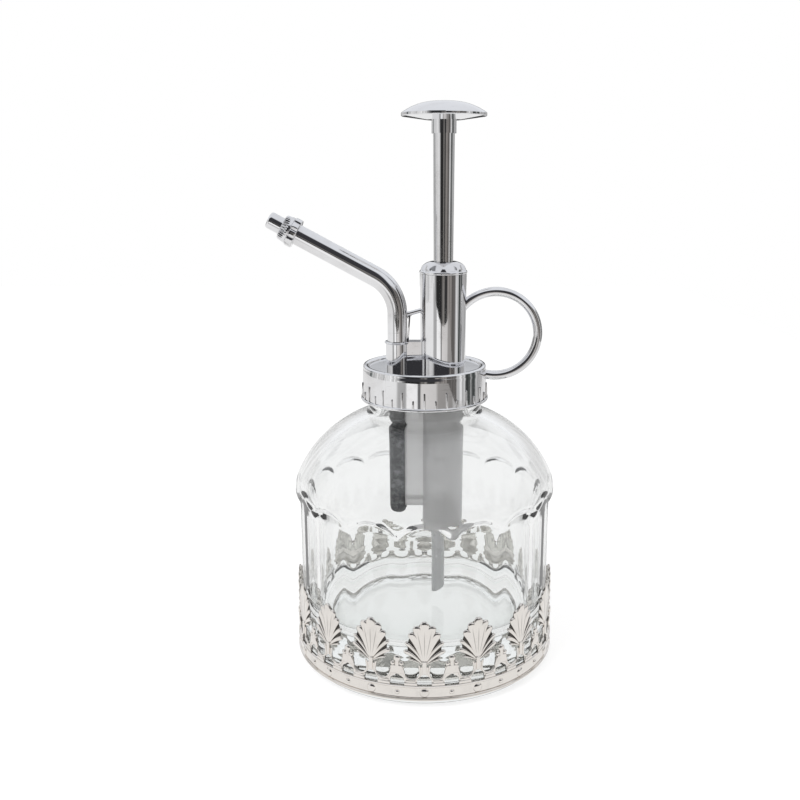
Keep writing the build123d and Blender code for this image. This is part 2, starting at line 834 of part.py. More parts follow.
with BuildPart() as dip_tube:
    dip_bottom = floor_thickness + dip_floor_gap
    with BuildSketch(level(dip_bottom, pump_x)):
        Circle(dip_radius)
        Circle(dip_bore, mode=Mode.SUBTRACT)
    extrude(amount=valve_bottom + dip_socket - dip_bottom)
    with BuildSketch(pump_section):
        with BuildLine():
            Polyline(
                (-dip_radius, dip_bottom - overrun),
                (-dip_radius, dip_bottom),
                (dip_radius, dip_bottom + dip_cut),
                (dip_radius + overrun, dip_bottom + dip_cut),
                (dip_radius + overrun, dip_bottom - overrun),
                close=True,
            )
        make_face()
    extrude(amount=dip_radius + overrun, both=True, mode=Mode.SUBTRACT)
dip_tube.part.label = "dip_tube"
export_step(dip_tube.part, "parts/dip_tube.step")

# Return spring between the retainer and the piston
spring_low = retainer_top + spring_gap + spring_wire
spring_span = piston_bottom - spring_gap - spring_wire - spring_low
with BuildPart() as return_spring:
    with BuildLine():
        spring_pitch = spring_span / spring_turns
        coil = Helix(spring_pitch, spring_span, spring_radius, center=(pump_x, 0, spring_low))
    with BuildSketch(Plane(origin=coil @ 0, z_dir=coil % 0)):
        RegularPolygon(spring_wire, spring_sides)
    sweep(path=coil, is_frenet=True)
return_spring.part.label = "return_spring"
export_step(return_spring.part, "parts/return_spring.step")

# Spout: riser, bend and inclined tube in one piece
corner_level = plate_top + spout_corner
spout_way = Vector(-cos(radians(spout_rise)), 0, sin(radians(spout_rise)))
spout_corner_point = Vector(riser_x, 0, corner_level)
nozzle_rear = spout_corner_point + spout_way * spout_reach
tube_end = nozzle_rear + spout_way * tube_in_nozzle
with BuildPart() as spout_tube:
    with BuildLine():
        spout_start = Vector(riser_x, 0, spout_bottom)
        spout_path = FilletPolyline(spout_start, spout_corner_point, tube_end, radius=spout_bend)
    with BuildSketch(level(spout_bottom, riser_x)):
        Circle(spout_radius)
        Circle(spout_bore, mode=Mode.SUBTRACT)
    sweep(path=spout_path)
spout_tube.part.label = "spout_tube"
export_step(spout_tube.part, "parts/spout_tube.step")

# Spout brace: sloping bar, gusset and leg, cut to the riser and to the barrel
brace_low = plate_top + brace_level
leg_x = riser_x + spout_radius + brace_leg
with BuildPart() as spout_brace:
    with BuildSketch(Plane.XZ):
        with BuildLine():
            Polyline(
                (riser_x, socket_top),
                (leg_x, socket_top),
                (leg_x, brace_low - 2 * brace_gusset),
                (leg_x + brace_gusset, brace_low + brace_slope * brace_gusset / (pump_x - riser_x)),
                (pump_x, brace_low + brace_slope),
                (pump_x, brace_low + brace_slope + brace_bar),
                (riser_x, brace_low + brace_bar),
                close=True,
            )
        make_face()
    extrude(amount=brace_thickness / 2, both=True)
    with BuildSketch(level(socket_top - overrun, riser_x)):
        Circle(spout_radius)
    extrude(amount=corner_level - socket_top, mode=Mode.SUBTRACT)
    add(barrel_envelope.part, mode=Mode.SUBTRACT)
spout_brace.part.label = "spout_brace"
export_step(spout_brace.part, "parts/spout_brace.step")

# Nozzle, drawn along its own axis: distances run forward from the collar's rear face
nozzle_across = Vector(sin(radians(spout_rise)), 0, cos(radians(spout_rise)))
nozzle_axis = Axis(nozzle_rear, spout_way)
nozzle_section = Plane(origin=nozzle_rear, x_dir=nozzle_across, z_dir=nozzle_across.cross(spout_way))
nozzle_face = Plane(origin=nozzle_rear, x_dir=nozzle_across, z_dir=spout_way)
washer_front = tube_in_nozzle + washer_thickness
tip_seat = washer_front + tip_flange
tip_front = nozzle_length + tip_standout
chamber_front = tip_front - tip_head
with BuildPart() as nozzle_collar:
    with BuildSketch(nozzle_section):
        with BuildLine():
            Polyline(
                (spout_radius + running_gap, 0),
                (nozzle_ring, 0),
                (nozzle_ring, nozzle_ring_length),
                (nozzle_ring - nozzle_step, nozzle_ring_length),
                (nozzle_front_radius, nozzle_length),
                (tip_radius + press_gap, nozzle_length),
                (tip_radius + press_gap, tip_seat),
                (spout_radius + running_gap, tip_seat),
                close=True,
            )
        make_face()
    revolve(axis=nozzle_axis)
    with BuildSketch(nozzle_face):
        with PolarLocations(nozzle_ring + scallop_radius - scallop_depth, nozzle_scallops):
            Circle(scallop_radius)
    extrude(amount=nozzle_ring_length, mode=Mode.SUBTRACT)
nozzle_collar.part.label = "nozzle_collar"
export_step(nozzle_collar.part, "parts/nozzle_collar.step")

with BuildPart() as nozzle_tip:
    with BuildSketch(nozzle_section) as tip_outline:
        with BuildLine():
            Polyline(
                (tip_chamber, washer_front + running_gap),
                (spout_radius, washer_front + running_gap),
                (spout_radius, tip_seat),
                (tip_radius, tip_seat),
                (tip_radius, tip_front),
                (tip_orifice, tip_front),
                (tip_orifice, chamber_front),
                (tip_chamber, chamber_front),
                close=True,
            )
        make_face()
        nose = tip_outline.vertices().filter_by(lambda v: v.X > tip_chamber and v.Y > chamber_front)
        fillet(nose, tip_round)
    revolve(axis=nozzle_axis)
nozzle_tip.part.label = "nozzle_tip"
export_step(nozzle_tip.part, "parts/nozzle_tip.step")

with BuildPart() as nozzle_washer:
    with BuildSketch(nozzle_face.offset(tube_in_nozzle)):
        Circle(spout_radius)
        Circle(spout_bore, mode=Mode.SUBTRACT)
    extrude(amount=washer_thickness)
nozzle_washer.part.label = "nozzle_washer"
export_step(nozzle_washer.part, "parts/nozzle_washer.step")

with BuildPart() as swirl_core:
    with BuildSketch(nozzle_face.offset(tube_in_nozzle - swirl_in_tube)):
        Circle(spout_bore - press_gap)
    extrude(amount=swirl_in_tube)
    with BuildSketch(nozzle_face.offset(tube_in_nozzle)):
        Circle(tip_chamber - running_gap)
    extrude(amount=chamber_front - swirl_slot - tube_in_nozzle)
    with BuildSketch(nozzle_face.offset(tube_in_nozzle - swirl_in_tube)):
        with PolarLocations(spout_bore, swirl_slots):
            Rectangle(2 * swirl_slot, swirl_slot)
    extrude(amount=chamber_front - tube_in_nozzle + swirl_in_tube, mode=Mode.SUBTRACT)
swirl_core.part.label = "swirl_core"
export_step(swirl_core.part, "parts/swirl_core.step")

# Finger ring: wire bent round from the barrel to the cap's skirt, cut to both
ring_span = ring_high_turn - ring_low_turn
with BuildPart() as finger_ring:
    with BuildLine(Plane.XZ):
        ring_path = CenterArc((ring_x, plate_top + ring_level), ring_radius, ring_low_turn, ring_span)
    with BuildSketch(Plane(origin=ring_path @ 0, z_dir=ring_path % 0)):
        Circle(ring_wire)
    sweep(path=ring_path)
    add(barrel_envelope.part, mode=Mode.SUBTRACT)
    add(cap_envelope.part, mode=Mode.SUBTRACT)
finger_ring.part.label = "finger_ring"
export_step(finger_ring.part, "parts/finger_ring.step")
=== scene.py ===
"""Looks of a glass plant sprinkler with a chrome hand pump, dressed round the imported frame.

Lengths of the pieces and finishes are millimetres. The frame and the studio are in metres.
"""

import json
import logging
import math
from dataclasses import dataclass
from enum import Enum
from typing import Callable, Iterable, Sequence

import bpy
from mathutils import Matrix, Vector

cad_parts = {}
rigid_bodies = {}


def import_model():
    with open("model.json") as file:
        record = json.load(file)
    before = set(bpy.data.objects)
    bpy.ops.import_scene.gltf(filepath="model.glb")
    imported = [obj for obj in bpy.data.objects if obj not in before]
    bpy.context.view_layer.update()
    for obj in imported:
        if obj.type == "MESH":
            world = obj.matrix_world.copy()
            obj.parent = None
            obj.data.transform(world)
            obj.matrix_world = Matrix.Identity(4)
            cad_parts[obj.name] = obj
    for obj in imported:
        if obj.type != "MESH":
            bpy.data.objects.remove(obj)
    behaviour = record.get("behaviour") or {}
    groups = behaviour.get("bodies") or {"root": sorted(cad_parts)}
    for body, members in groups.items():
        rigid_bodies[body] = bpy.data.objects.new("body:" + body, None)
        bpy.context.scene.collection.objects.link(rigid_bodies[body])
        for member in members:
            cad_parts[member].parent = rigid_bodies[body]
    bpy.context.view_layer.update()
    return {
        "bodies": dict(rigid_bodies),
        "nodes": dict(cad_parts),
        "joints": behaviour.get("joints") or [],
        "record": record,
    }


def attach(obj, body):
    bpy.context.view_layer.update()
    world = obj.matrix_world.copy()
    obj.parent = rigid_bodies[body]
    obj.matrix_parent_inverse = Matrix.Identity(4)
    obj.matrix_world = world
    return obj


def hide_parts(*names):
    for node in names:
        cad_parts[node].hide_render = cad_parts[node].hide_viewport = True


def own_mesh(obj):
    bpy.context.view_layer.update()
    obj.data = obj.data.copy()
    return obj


LOG = logging.getLogger("sprinkler")
MM = 0.001
MERGE = 0.01 * MM
FULL_TURN = 2 * math.pi

Colour = tuple[float, float, float]
Point = tuple[float, float]
Place = tuple[float, float, float]

WHITE: Colour = (1.0, 1.0, 1.0)
IVORY: Colour = (1.0, 0.97, 0.95)
CREAM: Colour = (1.0, 0.95, 0.91)
SAND: Colour = (1.0, 0.95, 0.9)
LINEN: Colour = (1.0, 0.94, 0.9)
PEACH: Colour = (1.0, 0.93, 0.88)
MINT: Colour = (0.9, 1.0, 0.97)
ICE: Colour = (0.9, 1.0, 1.0)


class Slot(Enum):
    """Material slots of the record."""

    GLASS = "clear_glass"
    STAMPED = "stamped_metal"
    CHROME = "chrome"
    WHITE_PLASTIC = "white_plastic"
    DARK_PLASTIC = "dark_plastic"
    TUBE_PLASTIC = "tube_plastic"
    RUBBER = "rubber"
    STEEL = "steel"


def grey(level: float) -> Colour:
    """Colour with three equal parts.

    Args:
        level: Value of each part.

    Returns:
        The colour.
    """
    return (level, level, level)


# Node trees


class NodeSketch:
    """Adds nodes to one tree and joins their sockets."""

    def __init__(self, tree: bpy.types.NodeTree) -> None:
        """Takes over a tree and empties it.

        Args:
            tree: The node tree to fill.
        """
        self.tree = tree
        tree.nodes.clear()

    def add(self, kind: str, **settings: object) -> bpy.types.Node:
        """Adds one node.

        Args:
            kind: Blender's name of the node type.
            settings: Node properties to set.

        Returns:
            The new node.
        """
        node = self.tree.nodes.new(kind)
        for name, value in settings.items():
            setattr(node, name, value)
        return node

    def feed(self, node: bpy.types.Node, **values: object) -> bpy.types.Node:
        """Sets or links inputs, whose names are written with underscores for spaces.

        Args:
            node: The node whose inputs are filled.
            values: A socket to link, or a constant to set, for each input.

        Returns:
            The same node.
        """
        for name, value in values.items():
            self.plug(node.inputs[name.replace("_", " ")], value)
        return node

    def plug(self, socket: bpy.types.NodeSocket, value: object) -> None:
        """Links a socket or sets its constant.

        Args:
            socket: The input to fill.
            value: An output socket, or a constant.
        """
        if isinstance(value, bpy.types.NodeSocket):
            self.tree.links.new(value, socket)
        else:
            socket.default_value = value

    def math(self, operation: str, *values: object) -> bpy.types.NodeSocket:
        """Adds a Math node.

        Args:
            operation: Blender's name of the operation.
            values: Its inputs in order.

        Returns:
            The result socket.
        """
        node = self.add("ShaderNodeMath", operation=operation)
        for socket, value in zip(node.inputs, values):
            self.plug(socket, value)
        return node.outputs[0]

    def vector(self, operation: str, *values: object) -> bpy.types.NodeOutputs:
        """Adds a Vector Math node.

        Args:
            operation: Blender's name of the operation.
            values: Its inputs in order.

        Returns:
            Its outputs.
        """
        node = self.add("ShaderNodeVectorMath", operation=operation)
        for socket, value in zip(node.inputs, values):
            self.plug(socket, value)
        return node.outputs

    def mix(self, factor: object, first: object, second: object) -> bpy.types.NodeSocket:
        """Adds a colour Mix node.

        Args:
            factor: Share of the second colour.
            first: Socket or colour at 0.
            second: Socket or colour at 1.

        Returns:
            The mixed colour socket.
        """
        node = self.add("ShaderNodeMix", data_type="RGBA")
        self.plug(node.inputs["Factor"], factor)
        for socket, value in ((node.inputs[6], first), (node.inputs[7], second)):
            self.plug(socket, (*value, 1.0) if isinstance(value, tuple) else value)
        return node.outputs[2]

    def split(self, vector: bpy.types.NodeSocket) -> bpy.types.NodeOutputs:
        """Adds a Separate XYZ node.

        Args:
            vector: The vector.

        Returns:
            Its three parts.
        """
        node = self.add("ShaderNodeSeparateXYZ")
        self.plug(node.inputs[0], vector)
        return node.outputs

    def turn(self, parts: bpy.types.NodeOutputs) -> bpy.types.NodeSocket:
        """Measures the direction round the upright axis.

        Args:
            parts: The parts of a point or direction.

        Returns:
            The angle from the camera's side in radians, growing to the right.
        """
        return self.math("ARCTAN2", parts["X"], self.math("MULTIPLY", parts["Y"], -1.0))

    def span(
        self, value: object, low: float, high: float, start: float = 0.0, end: float = 1.0
    ) -> bpy.types.NodeSocket:
        """Adds a smooth Map Range node.

        Args:
            value: What is mapped.
            low: Input that gives start.
            high: Input that gives end.
            start: Lowest result.
            end: Highest result.

        Returns:
            The mapped socket.
        """
        node = self.add("ShaderNodeMapRange", interpolation_type="SMOOTHSTEP")
        for socket, number in zip(node.inputs, (value, low, high, start, end)):
            self.plug(socket, number)
        return node.outputs["Result"]

    def ramp(self, value: object, stops: Sequence[tuple[float, Colour]]) -> bpy.types.NodeSocket:
        """Adds a Color Ramp node.

        Args:
            value: What picks the colour.
            stops: Place and colour of each stop, in order.

        Returns:
            The colour socket.
        """
        node = self.add("ShaderNodeValToRGB")
        elements = node.color_ramp.elements
        while len(elements) > 1:
            elements.remove(elements[-1])
        for index, (place, colour) in enumerate(stops):
            element = elements[0] if index == 0 else elements.new(place)
            element.position = place
            element.color = (*colour, 1.0)
        self.plug(node.inputs["Fac"], value)
        return node.outputs["Color"]

    def noise(
        self, where: object, scale: float, detail: float = 2.0, rough: float = 0.5
    ) -> bpy.types.NodeSocket:
        """Adds a Noise Texture node.

        Args:
            where: Coordinates.
            scale: Features per metre.
            detail: Octaves.
            rough: Weight of the finer octaves.

        Returns:
            The factor socket.
        """
        node = self.add("ShaderNodeTexNoise")
        self.feed(node, Vector=where, Scale=scale, Detail=detail, Roughness=rough)
        return node.outputs["Fac"]

    def stretched(self, where: object, scale: tuple[float, float, float]) -> bpy.types.NodeSocket:
        """Adds a Mapping node that scales coordinates.

        Args:
            where: Coordinates.
            scale: Factor along each axis.

        Returns:
            The new coordinates.
        """
        node = self.add("ShaderNodeMapping")
        self.feed(node, Vector=where, Scale=scale)
        return node.outputs["Vector"]


class EffectGroup:
    """A shader node group with named inputs and outputs, shared by several finishes."""

    def __init__(self, name: str, inputs: dict[str, float], outputs: Sequence[str]) -> None:
        """Makes the group's sockets and opens its tree.

        Args:
            name: Name of the group.
            inputs: Input names and their usual values.
            outputs: Output names.
        """
        self.tree = bpy.data.node_groups.new(name, "ShaderNodeTree")
        for label, value in inputs.items():
            socket = self.tree.interface.new_socket(label, in_out="INPUT", socket_type="NodeSocketFloat")
            socket.default_value = value
        for label in outputs:
            self.tree.interface.new_socket(label, in_out="OUTPUT", socket_type="NodeSocketFloat")
        self.sketch = NodeSketch(self.tree)
        self.ins = self.sketch.add("NodeGroupInput").outputs
        self.outs = self.sketch.add("NodeGroupOutput").inputs
        self.where = self.sketch.add("ShaderNodeTexCoord").outputs["Object"]

    def place(self, sketch: NodeSketch, **values: object) -> bpy.types.NodeOutputs:
        """Puts the group into a material.

        Args:
            sketch: The material's sketch.
            values: Input values.

        Returns:
            The group's outputs.
        """
        node = sketch.add("ShaderNodeGroup", node_tree=self.tree)
        sketch.feed(node, **values)
        return node.outputs


@dataclass
class Effects:
    """The shared node groups."""

    smudge: EffectGroup
    ripple: EffectGroup
    scratch: EffectGroup

    @classmethod
    def build(cls) -> "Effects":
        """Builds each group once."""
        return cls(cls._smudge(), cls._ripple(), cls._scratch())

    @staticmethod
    def _smudge() -> EffectGroup:
        """Fingermarks and haze: a blotchy mask from 0 to 1.

        Returns:
            The group.
        """
        group = EffectGroup("handled_haze", {"Scale": 90.0, "Amount": 0.5}, ("Mask",))
        sketch = group.sketch
        blotch = sketch.noise(group.where, 1.0, 4.0, 0.6)
        sketch.plug(blotch.node.inputs["Scale"], group.ins["Scale"])
        fine = sketch.noise(group.where, 900.0, 2.0, 0.6)
        cloud = sketch.span(blotch, 0.42, 0.68)
        grain = sketch.span(fine, 0.3, 0.7, 0.75, 1.0)
        mask = sketch.math("MULTIPLY", sketch.math("MULTIPLY", cloud, grain), group.ins["Amount"])
        sketch.plug(group.outs["Mask"], mask)
        return group

    @staticmethod
    def _ripple() -> EffectGroup:
        """Shallow unevenness of thin plated or pressed walls, as a height.

        Returns:
            The group.
        """
        group = EffectGroup("wall_ripple", {"Scale": 120.0, "Fine": 0.25}, ("Height",))
        sketch = group.sketch
        broad = sketch.noise(group.where, 1.0, 1.0, 0.5)
        sketch.plug(broad.node.inputs["Scale"], group.ins["Scale"])
        fine = sketch.noise(group.where, 1.0, 2.0, 0.5)
        sketch.plug(fine.node.inputs["Scale"], sketch.math("MULTIPLY", group.ins["Scale"], 5.0))
        share = sketch.math("MULTIPLY", fine, group.ins["Fine"])
        sketch.plug(group.outs["Height"], sketch.math("ADD", broad, share))
        return group

    @staticmethod
    def _scratch() -> EffectGroup:
        """Hairline rub marks that run round or along a piece, as a mask.

        Returns:
            The group.
        """
        group = EffectGroup("rub_marks", {"Amount": 0.4}, ("Mask",))
        sketch = group.sketch
        along = sketch.noise(sketch.stretched(group.where, (1.0, 1.0, 0.08)), 2600.0, 2.0, 0.7)
        around = sketch.noise(sketch.stretched(group.where, (0.1, 0.1, 1.0)), 2400.0, 2.0, 0.7)
        lines = sketch.math("MAXIMUM", sketch.span(along, 0.62, 0.72), sketch.span(around, 0.62, 0.72))
        sketch.plug(group.outs["Mask"], sketch.math("MULTIPLY", lines, group.ins["Amount"]))
        return group


# Finishes


@dataclass(frozen=True)
class Finish:
    """What every finish shares: a name, a slot and the way into its node tree."""

    name: str
    slot: Slot

    def open(self) -> tuple[bpy.types.Material, NodeSketch, bpy.types.Node]:
        """Starts the material.

        Returns:
            The material, its sketch and its Principled node.
        """
        material = bpy.data.materials.new(self.name)
        material.use_nodes = True
        sketch = NodeSketch(material.node_tree)
        shader = sketch.add("ShaderNodeBsdfPrincipled")
        output = sketch.add("ShaderNodeOutputMaterial")
        sketch.plug(output.inputs["Surface"], shader.outputs["BSDF"])
        return material, sketch, shader

    @staticmethod
    def relief(sketch: NodeSketch, height: object, depth: float) -> bpy.types.NodeSocket:
        """Adds a Bump node.

        Args:
            sketch: The material's sketch.
            height: Height socket.
            depth: Depth in millimetres of a height of one.

        Returns:
            The normal socket.
        """
        bump = sketch.add("ShaderNodeBump")
        sketch.feed(bump, Strength=1.0, Distance=depth * MM, Height=height)
        return bump.outputs["Normal"]


@dataclass(frozen=True)
class Plated(Finish):
    """Bright plated metal, slightly uneven, with haze and hairline marks."""

    colour: Colour = (0.80, 0.80, 0.81)
    dull: Colour = (0.66, 0.65, 0.65)
    gloss: float = 0.035
    haze: float = 0.16
    ripple: float = 0.012
    ripple_scale: float = 110.0
    fine: float = 0.12
    haze_scale: float = 70.0
    haze_amount: float = 0.8
    mark_amount: float = 0.5

    def make(self, effects: Effects) -> bpy.types.Material:
        """Builds the material.

        Args:
            effects: The shared groups.

        Returns:
            The material.
        """
        material, sketch, shader = self.open()
        haze = effects.smudge.place(sketch, Scale=self.haze_scale, Amount=self.haze_amount)["Mask"]
        marks = effects.scratch.place(sketch, Amount=self.mark_amount)["Mask"]
        wear = sketch.math("MAXIMUM", haze, marks)
        height = effects.ripple.place(sketch, Scale=self.ripple_scale, Fine=self.fine)["Height"]
        sketch.feed(
            shader,
            Base_Color=sketch.mix(wear, self.colour, self.dull),
            Roughness=sketch.span(wear, 0.0, 1.0, self.gloss, self.haze),
            Metallic=1.0,
            Normal=self.relief(sketch, height, self.ripple),
        )
        return material


@dataclass(frozen=True)
class Stamped(Finish):
    """Bright stamped strip: pale on its high parts, with painted shade in the hollows of its outer face and
    along the veins of its leaves.
    """

    colour: Colour = (0.82, 0.785, 0.745)
    # Painted shade: the colour of the hollows of the outer face.
    painted_hollow_shade: Colour = (0.07, 0.064, 0.058)
    gloss: float = 0.13
    dull: float = 0.32
    hollow_radius: float = 38.98
    bright_radius: float = 39.24
    inner_facing: tuple[float, float] = (-0.1, -0.5)
    grain: float = 0.014
    grain_scale: float = 420.0
    fine: float = 0.4
    haze_scale: float = 260.0
    haze_amount: float = 0.5
    haze_wear: float = 0.3
    mark_amount: float = 0.35
    # Painted shade along the fine vein grooves of the leaves.
    painted_vein_shade: Colour = (0.3, 0.28, 0.26)
    vein_root: float = 12.5
    vein_low: tuple[float, float] = (15.0, 17.0)
    vein_high: tuple[float, float] = (24.0, 20.0)
    vein_fan: tuple[float, float] = (0.34, 0.3)
    vein_count: float = 18.0
    vein_shade_strength: float = 0.75
    leaves: int = 16
    leaf_pitch: float = 15.24

    def make(self, effects: Effects) -> bpy.types.Material:
        """Builds the material, whose painted shade in the hollows is told by the distance from the bottle's
        axis.

        Args:
            effects: The shared groups.

        Returns:
            The material.
        """
        material, sketch, shader = self.open()
        coordinates = sketch.add("ShaderNodeTexCoord").outputs
        level = sketch.vector("MULTIPLY", coordinates["Object"], (1.0, 1.0, 0.0))["Vector"]
        reach = sketch.vector("LENGTH", level)["Value"]
        outward = sketch.vector("DOT_PRODUCT", level, coordinates["Normal"])["Value"]
        facing = sketch.math("DIVIDE", outward, reach)
        # Painted shade mask: 0 deep in the hollows, 1 on the raised parts; faces turned inwards stay
        # unshaded.
        height = sketch.span(reach, self.hollow_radius * MM, self.bright_radius * MM)
        height = sketch.math("MAXIMUM", height, sketch.span(facing, *self.inner_facing))
        vein_shade = self._vein_shade_mask(sketch, coordinates["Object"])
        haze = effects.smudge.place(sketch, Scale=self.haze_scale, Amount=self.haze_amount)["Mask"]
        marks = effects.scratch.place(sketch, Amount=self.mark_amount)["Mask"]
        # Painted shade mask, lowered further where the haze shows real wear.
        shade_and_wear = sketch.math("SUBTRACT", height, sketch.math("MULTIPLY", haze, self.haze_wear))
        grain = effects.ripple.place(sketch, Scale=self.grain_scale, Fine=self.fine)["Height"]
        # Painted vein shade laid over the face colour.
        face = sketch.mix(vein_shade, self.colour, self.painted_vein_shade)
        sketch.feed(
            shader,
            Base_Color=sketch.mix(sketch.span(shade_and_wear, 0.0, 1.0), self.painted_hollow_shade, face),
            Roughness=sketch.span(sketch.math("MAXIMUM", haze, marks), 0.0, 1.0, self.gloss, self.dull),
            Metallic=1.0,
            Normal=self.relief(sketch, grain, self.grain),
        )
        return material

    def _vein_shade_mask(self, sketch: NodeSketch, where: bpy.types.NodeSocket) -> bpy.types.NodeSocket:
        """Painted shade along fine vein grooves that fan out over each leaf from its root.

        Args:
            sketch: The material's sketch.
            where: Object coordinates.

        Returns:
            The mask socket.
        """
        parts = sketch.split(where)
        height = parts["Z"]
        leaf = sketch.math("MULTIPLY", sketch.turn(parts), self.leaves / FULL_TURN)
        off = sketch.math("SUBTRACT", leaf, sketch.math("ROUND", leaf))
        across = sketch.math("MULTIPLY", off, self.leaf_pitch * MM)
        fan = sketch.math("ARCTAN2", across, sketch.math("SUBTRACT", height, self.vein_root * MM))
        wave = sketch.math("ABSOLUTE", sketch.math("SINE", sketch.math("MULTIPLY", fan, self.vein_count)))
        mask = sketch.span(wave, 0.36, 0.08, 0.0, self.vein_shade_strength)
        for low, high in (self.vein_low, self.vein_high):
            mask = sketch.math("MULTIPLY", mask, sketch.span(height, low * MM, high * MM))
        return sketch.math("MULTIPLY", mask, sketch.span(sketch.math("ABSOLUTE", fan), *self.vein_fan))


@dataclass(frozen=True)
class PressedGlass(Finish):
    """Clear pressed glass, cooler and darker towards the bottom, with fire-polished unevenness."""

    colour: Colour = (0.985, 0.99, 0.988)
    base_colour: Colour = (0.9, 0.92, 0.912)
    base_level: tuple[float, float] = (31.0, 15.0)
    index: float = 1.5
    ripple: float = 0.03
    ripple_scale: float = 75.0
    fine: float = 0.06
    haze: float = 0.012
    haze_scale: float = 60.0
    haze_amount: float = 0.6

    def make(self, effects: Effects) -> bpy.types.Material:
        """Builds the material.

        Args:
            effects: The shared groups.

        Returns:
            The material.
        """
        material, sketch, shader = self.open()
        height = effects.ripple.place(sketch, Scale=self.ripple_scale, Fine=self.fine)["Height"]
        haze = effects.smudge.place(sketch, Scale=self.haze_scale, Amount=self.haze_amount)["Mask"]
        parts = sketch.split(sketch.add("ShaderNodeTexCoord").outputs["Object"])
        # Cooler and darker towards the bottom, by height alone.
        thick = sketch.span(parts["Z"], self.base_level[0] * MM, self.base_level[1] * MM)
        sketch.feed(
            shader,
            Base_Color=sketch.mix(thick, self.colour, self.base_colour),
            Roughness=sketch.span(haze, 0.0, 1.0, 0.0, self.haze),
            IOR=self.index,
            Normal=self.relief(sketch, height, self.ripple),
        )
        shader.inputs["Transmission Weight"].default_value = 1.0
        return material


@dataclass(frozen=True)
class Moulded(Finish):
    """Moulded plastic or rubber: mottled colour, fine grain, and light passed through if wanted."""

    colour: Colour = (0.8, 0.8, 0.8)
    mottle: Colour = (0.7, 0.7, 0.7)
    mottle_scale: float = 160.0
    gloss: float = 0.3
    dull: float = 0.5
    grain: float = 0.01
    grain_scale: float = 300.0
    fine: float = 0.5
    clearness: float = 0.0
    metallic: float = 0.0
    index: float = 1.46

    def make(self, effects: Effects) -> bpy.types.Material:
        """Builds the material.

        Args:
            effects: The shared groups.

        Returns:
            The material.
        """
        material, sketch, shader = self.open()
        cloud = effects.smudge.place(sketch, Scale=self.mottle_scale, Amount=1.0)["Mask"]
        height = effects.ripple.place(sketch, Scale=self.grain_scale, Fine=self.fine)["Height"]
        sketch.feed(
            shader,
            Base_Color=sketch.mix(cloud, self.colour, self.mottle),
            Roughness=sketch.span(cloud, 0.0, 1.0, self.gloss, self.dull),
            Metallic=self.metallic,
            Normal=self.relief(sketch, height, self.grain),
        )
        shader.inputs["Transmission Weight"].default_value = self.clearness
        shader.inputs["IOR"].default_value = self.index
        return material


# Mesh work


def deselect_all() -> None:
    """Leaves edit mode and clears the selection."""
    if bpy.context.object and bpy.context.object.mode != "OBJECT":
        bpy.ops.object.mode_set(mode="OBJECT")
    bpy.ops.object.select_all(action="DESELECT")


def pick(*pieces: bpy.types.Object) -> None:
    """Selects only these pieces and makes the first one active.

    Args:
        pieces: Objects to select.
    """
    deselect_all()
    for piece in pieces:
        piece.select_set(True)
    bpy.context.view_layer.objects.active = pieces[0]


def newest(name: str) -> bpy.types.Object:
    """Names the object that an operator has just added.

    Args:
        name: Its new name.

    Returns:
        The object.
    """
    piece = bpy.context.object
    piece.name = name
    piece.data.name = name
    return piece


def settle(piece: bpy.types.Object) -> bpy.types.Object:
    """Applies a piece's place, turn and scale to its mesh.

    Args:
        piece: The object.

    Returns:
        The same object.
    """
    pick(piece)
    bpy.ops.object.transform_apply(location=True, rotation=True, scale=True)
    return piece


def add_shape(name: str, operator: Callable[..., object], **settings: object) -> bpy.types.Object:
    """Adds a basic shape and applies its place, turn and scale.

    Args:
        name: Name of the piece.
        operator: Blender's operator for the shape.
        settings: What the operator is told.

    Returns:
        The piece.
    """
    deselect_all()
    operator(**settings)
    return settle(newest(name))


def edit_all(piece: bpy.types.Object) -> None:
    """Opens a piece in edit mode with everything in it selected.

    Args:
        piece: The object.
    """
    pick(piece)
    bpy.ops.object.mode_set(mode="EDIT")
    bpy.ops.mesh.select_all(action="SELECT")


def weld(piece: bpy.types.Object) -> bpy.types.Object:
    """Merges doubles and makes the normals agree.

    Args:
        piece: The object.

    Returns:
        The same object.
    """
    edit_all(piece)
    bpy.ops.mesh.remove_doubles(threshold=MERGE)
    bpy.ops.mesh.normals_make_consistent(inside=False)
    bpy.ops.object.mode_set(mode="OBJECT")
    return piece


def round_edges(piece: bpy.types.Object, width: float) -> bpy.types.Object:
    """Bevels every edge of a piece in two steps.

    Args:
        piece: The object.
        width: Width of the bevel.

    Returns:
        The same object.
    """
    edit_all(piece)
    bpy.ops.mesh.bevel(offset=width * MM, segments=2, affect="EDGES")
    bpy.ops.object.mode_set(mode="OBJECT")
    return piece


def soften(piece: bpy.types.Object, degrees: float) -> bpy.types.Object:
    """Shades smooth below an edge angle.

    Args:
        piece: The object.
        degrees: Edges sharper than this stay sharp.

    Returns:
        The same object.
    """
    pick(piece)
    bpy.ops.object.shade_smooth_by_angle(angle=math.radians(degrees))
    return piece


def join(name: str, pieces: Sequence[bpy.types.Object]) -> bpy.types.Object:
    """Joins pieces into the first of them.

    Args:
        name: Name of the result.
        pieces: Objects to join.

    Returns:
        The joined object.
    """
    pick(*pieces)
    if len(pieces) > 1:
        bpy.ops.object.join()
    return newest(name)


def copy_turned(piece: bpy.types.Object, count: int, start: float = 0.0) -> list[bpy.types.Object]:
    """Copies a piece round the bottle's axis, each copy with its own mesh, and removes the pattern.

    Args:
        piece: Pattern, in its place for angle 0.
        count: Number of copies on the full turn.
        start: Angle of the first copy in radians.

    Returns:
        The copies.
    """
    copies = []
    for index in range(count):
        copy = piece.copy()
        copy.data = piece.data.copy()
        copy.data.transform(Matrix.Rotation(start + FULL_TURN * index / count, 4, "Z"))
        bpy.context.scene.collection.objects.link(copy)
        copies.append(copy)
    bpy.data.objects.remove(piece)
    return copies


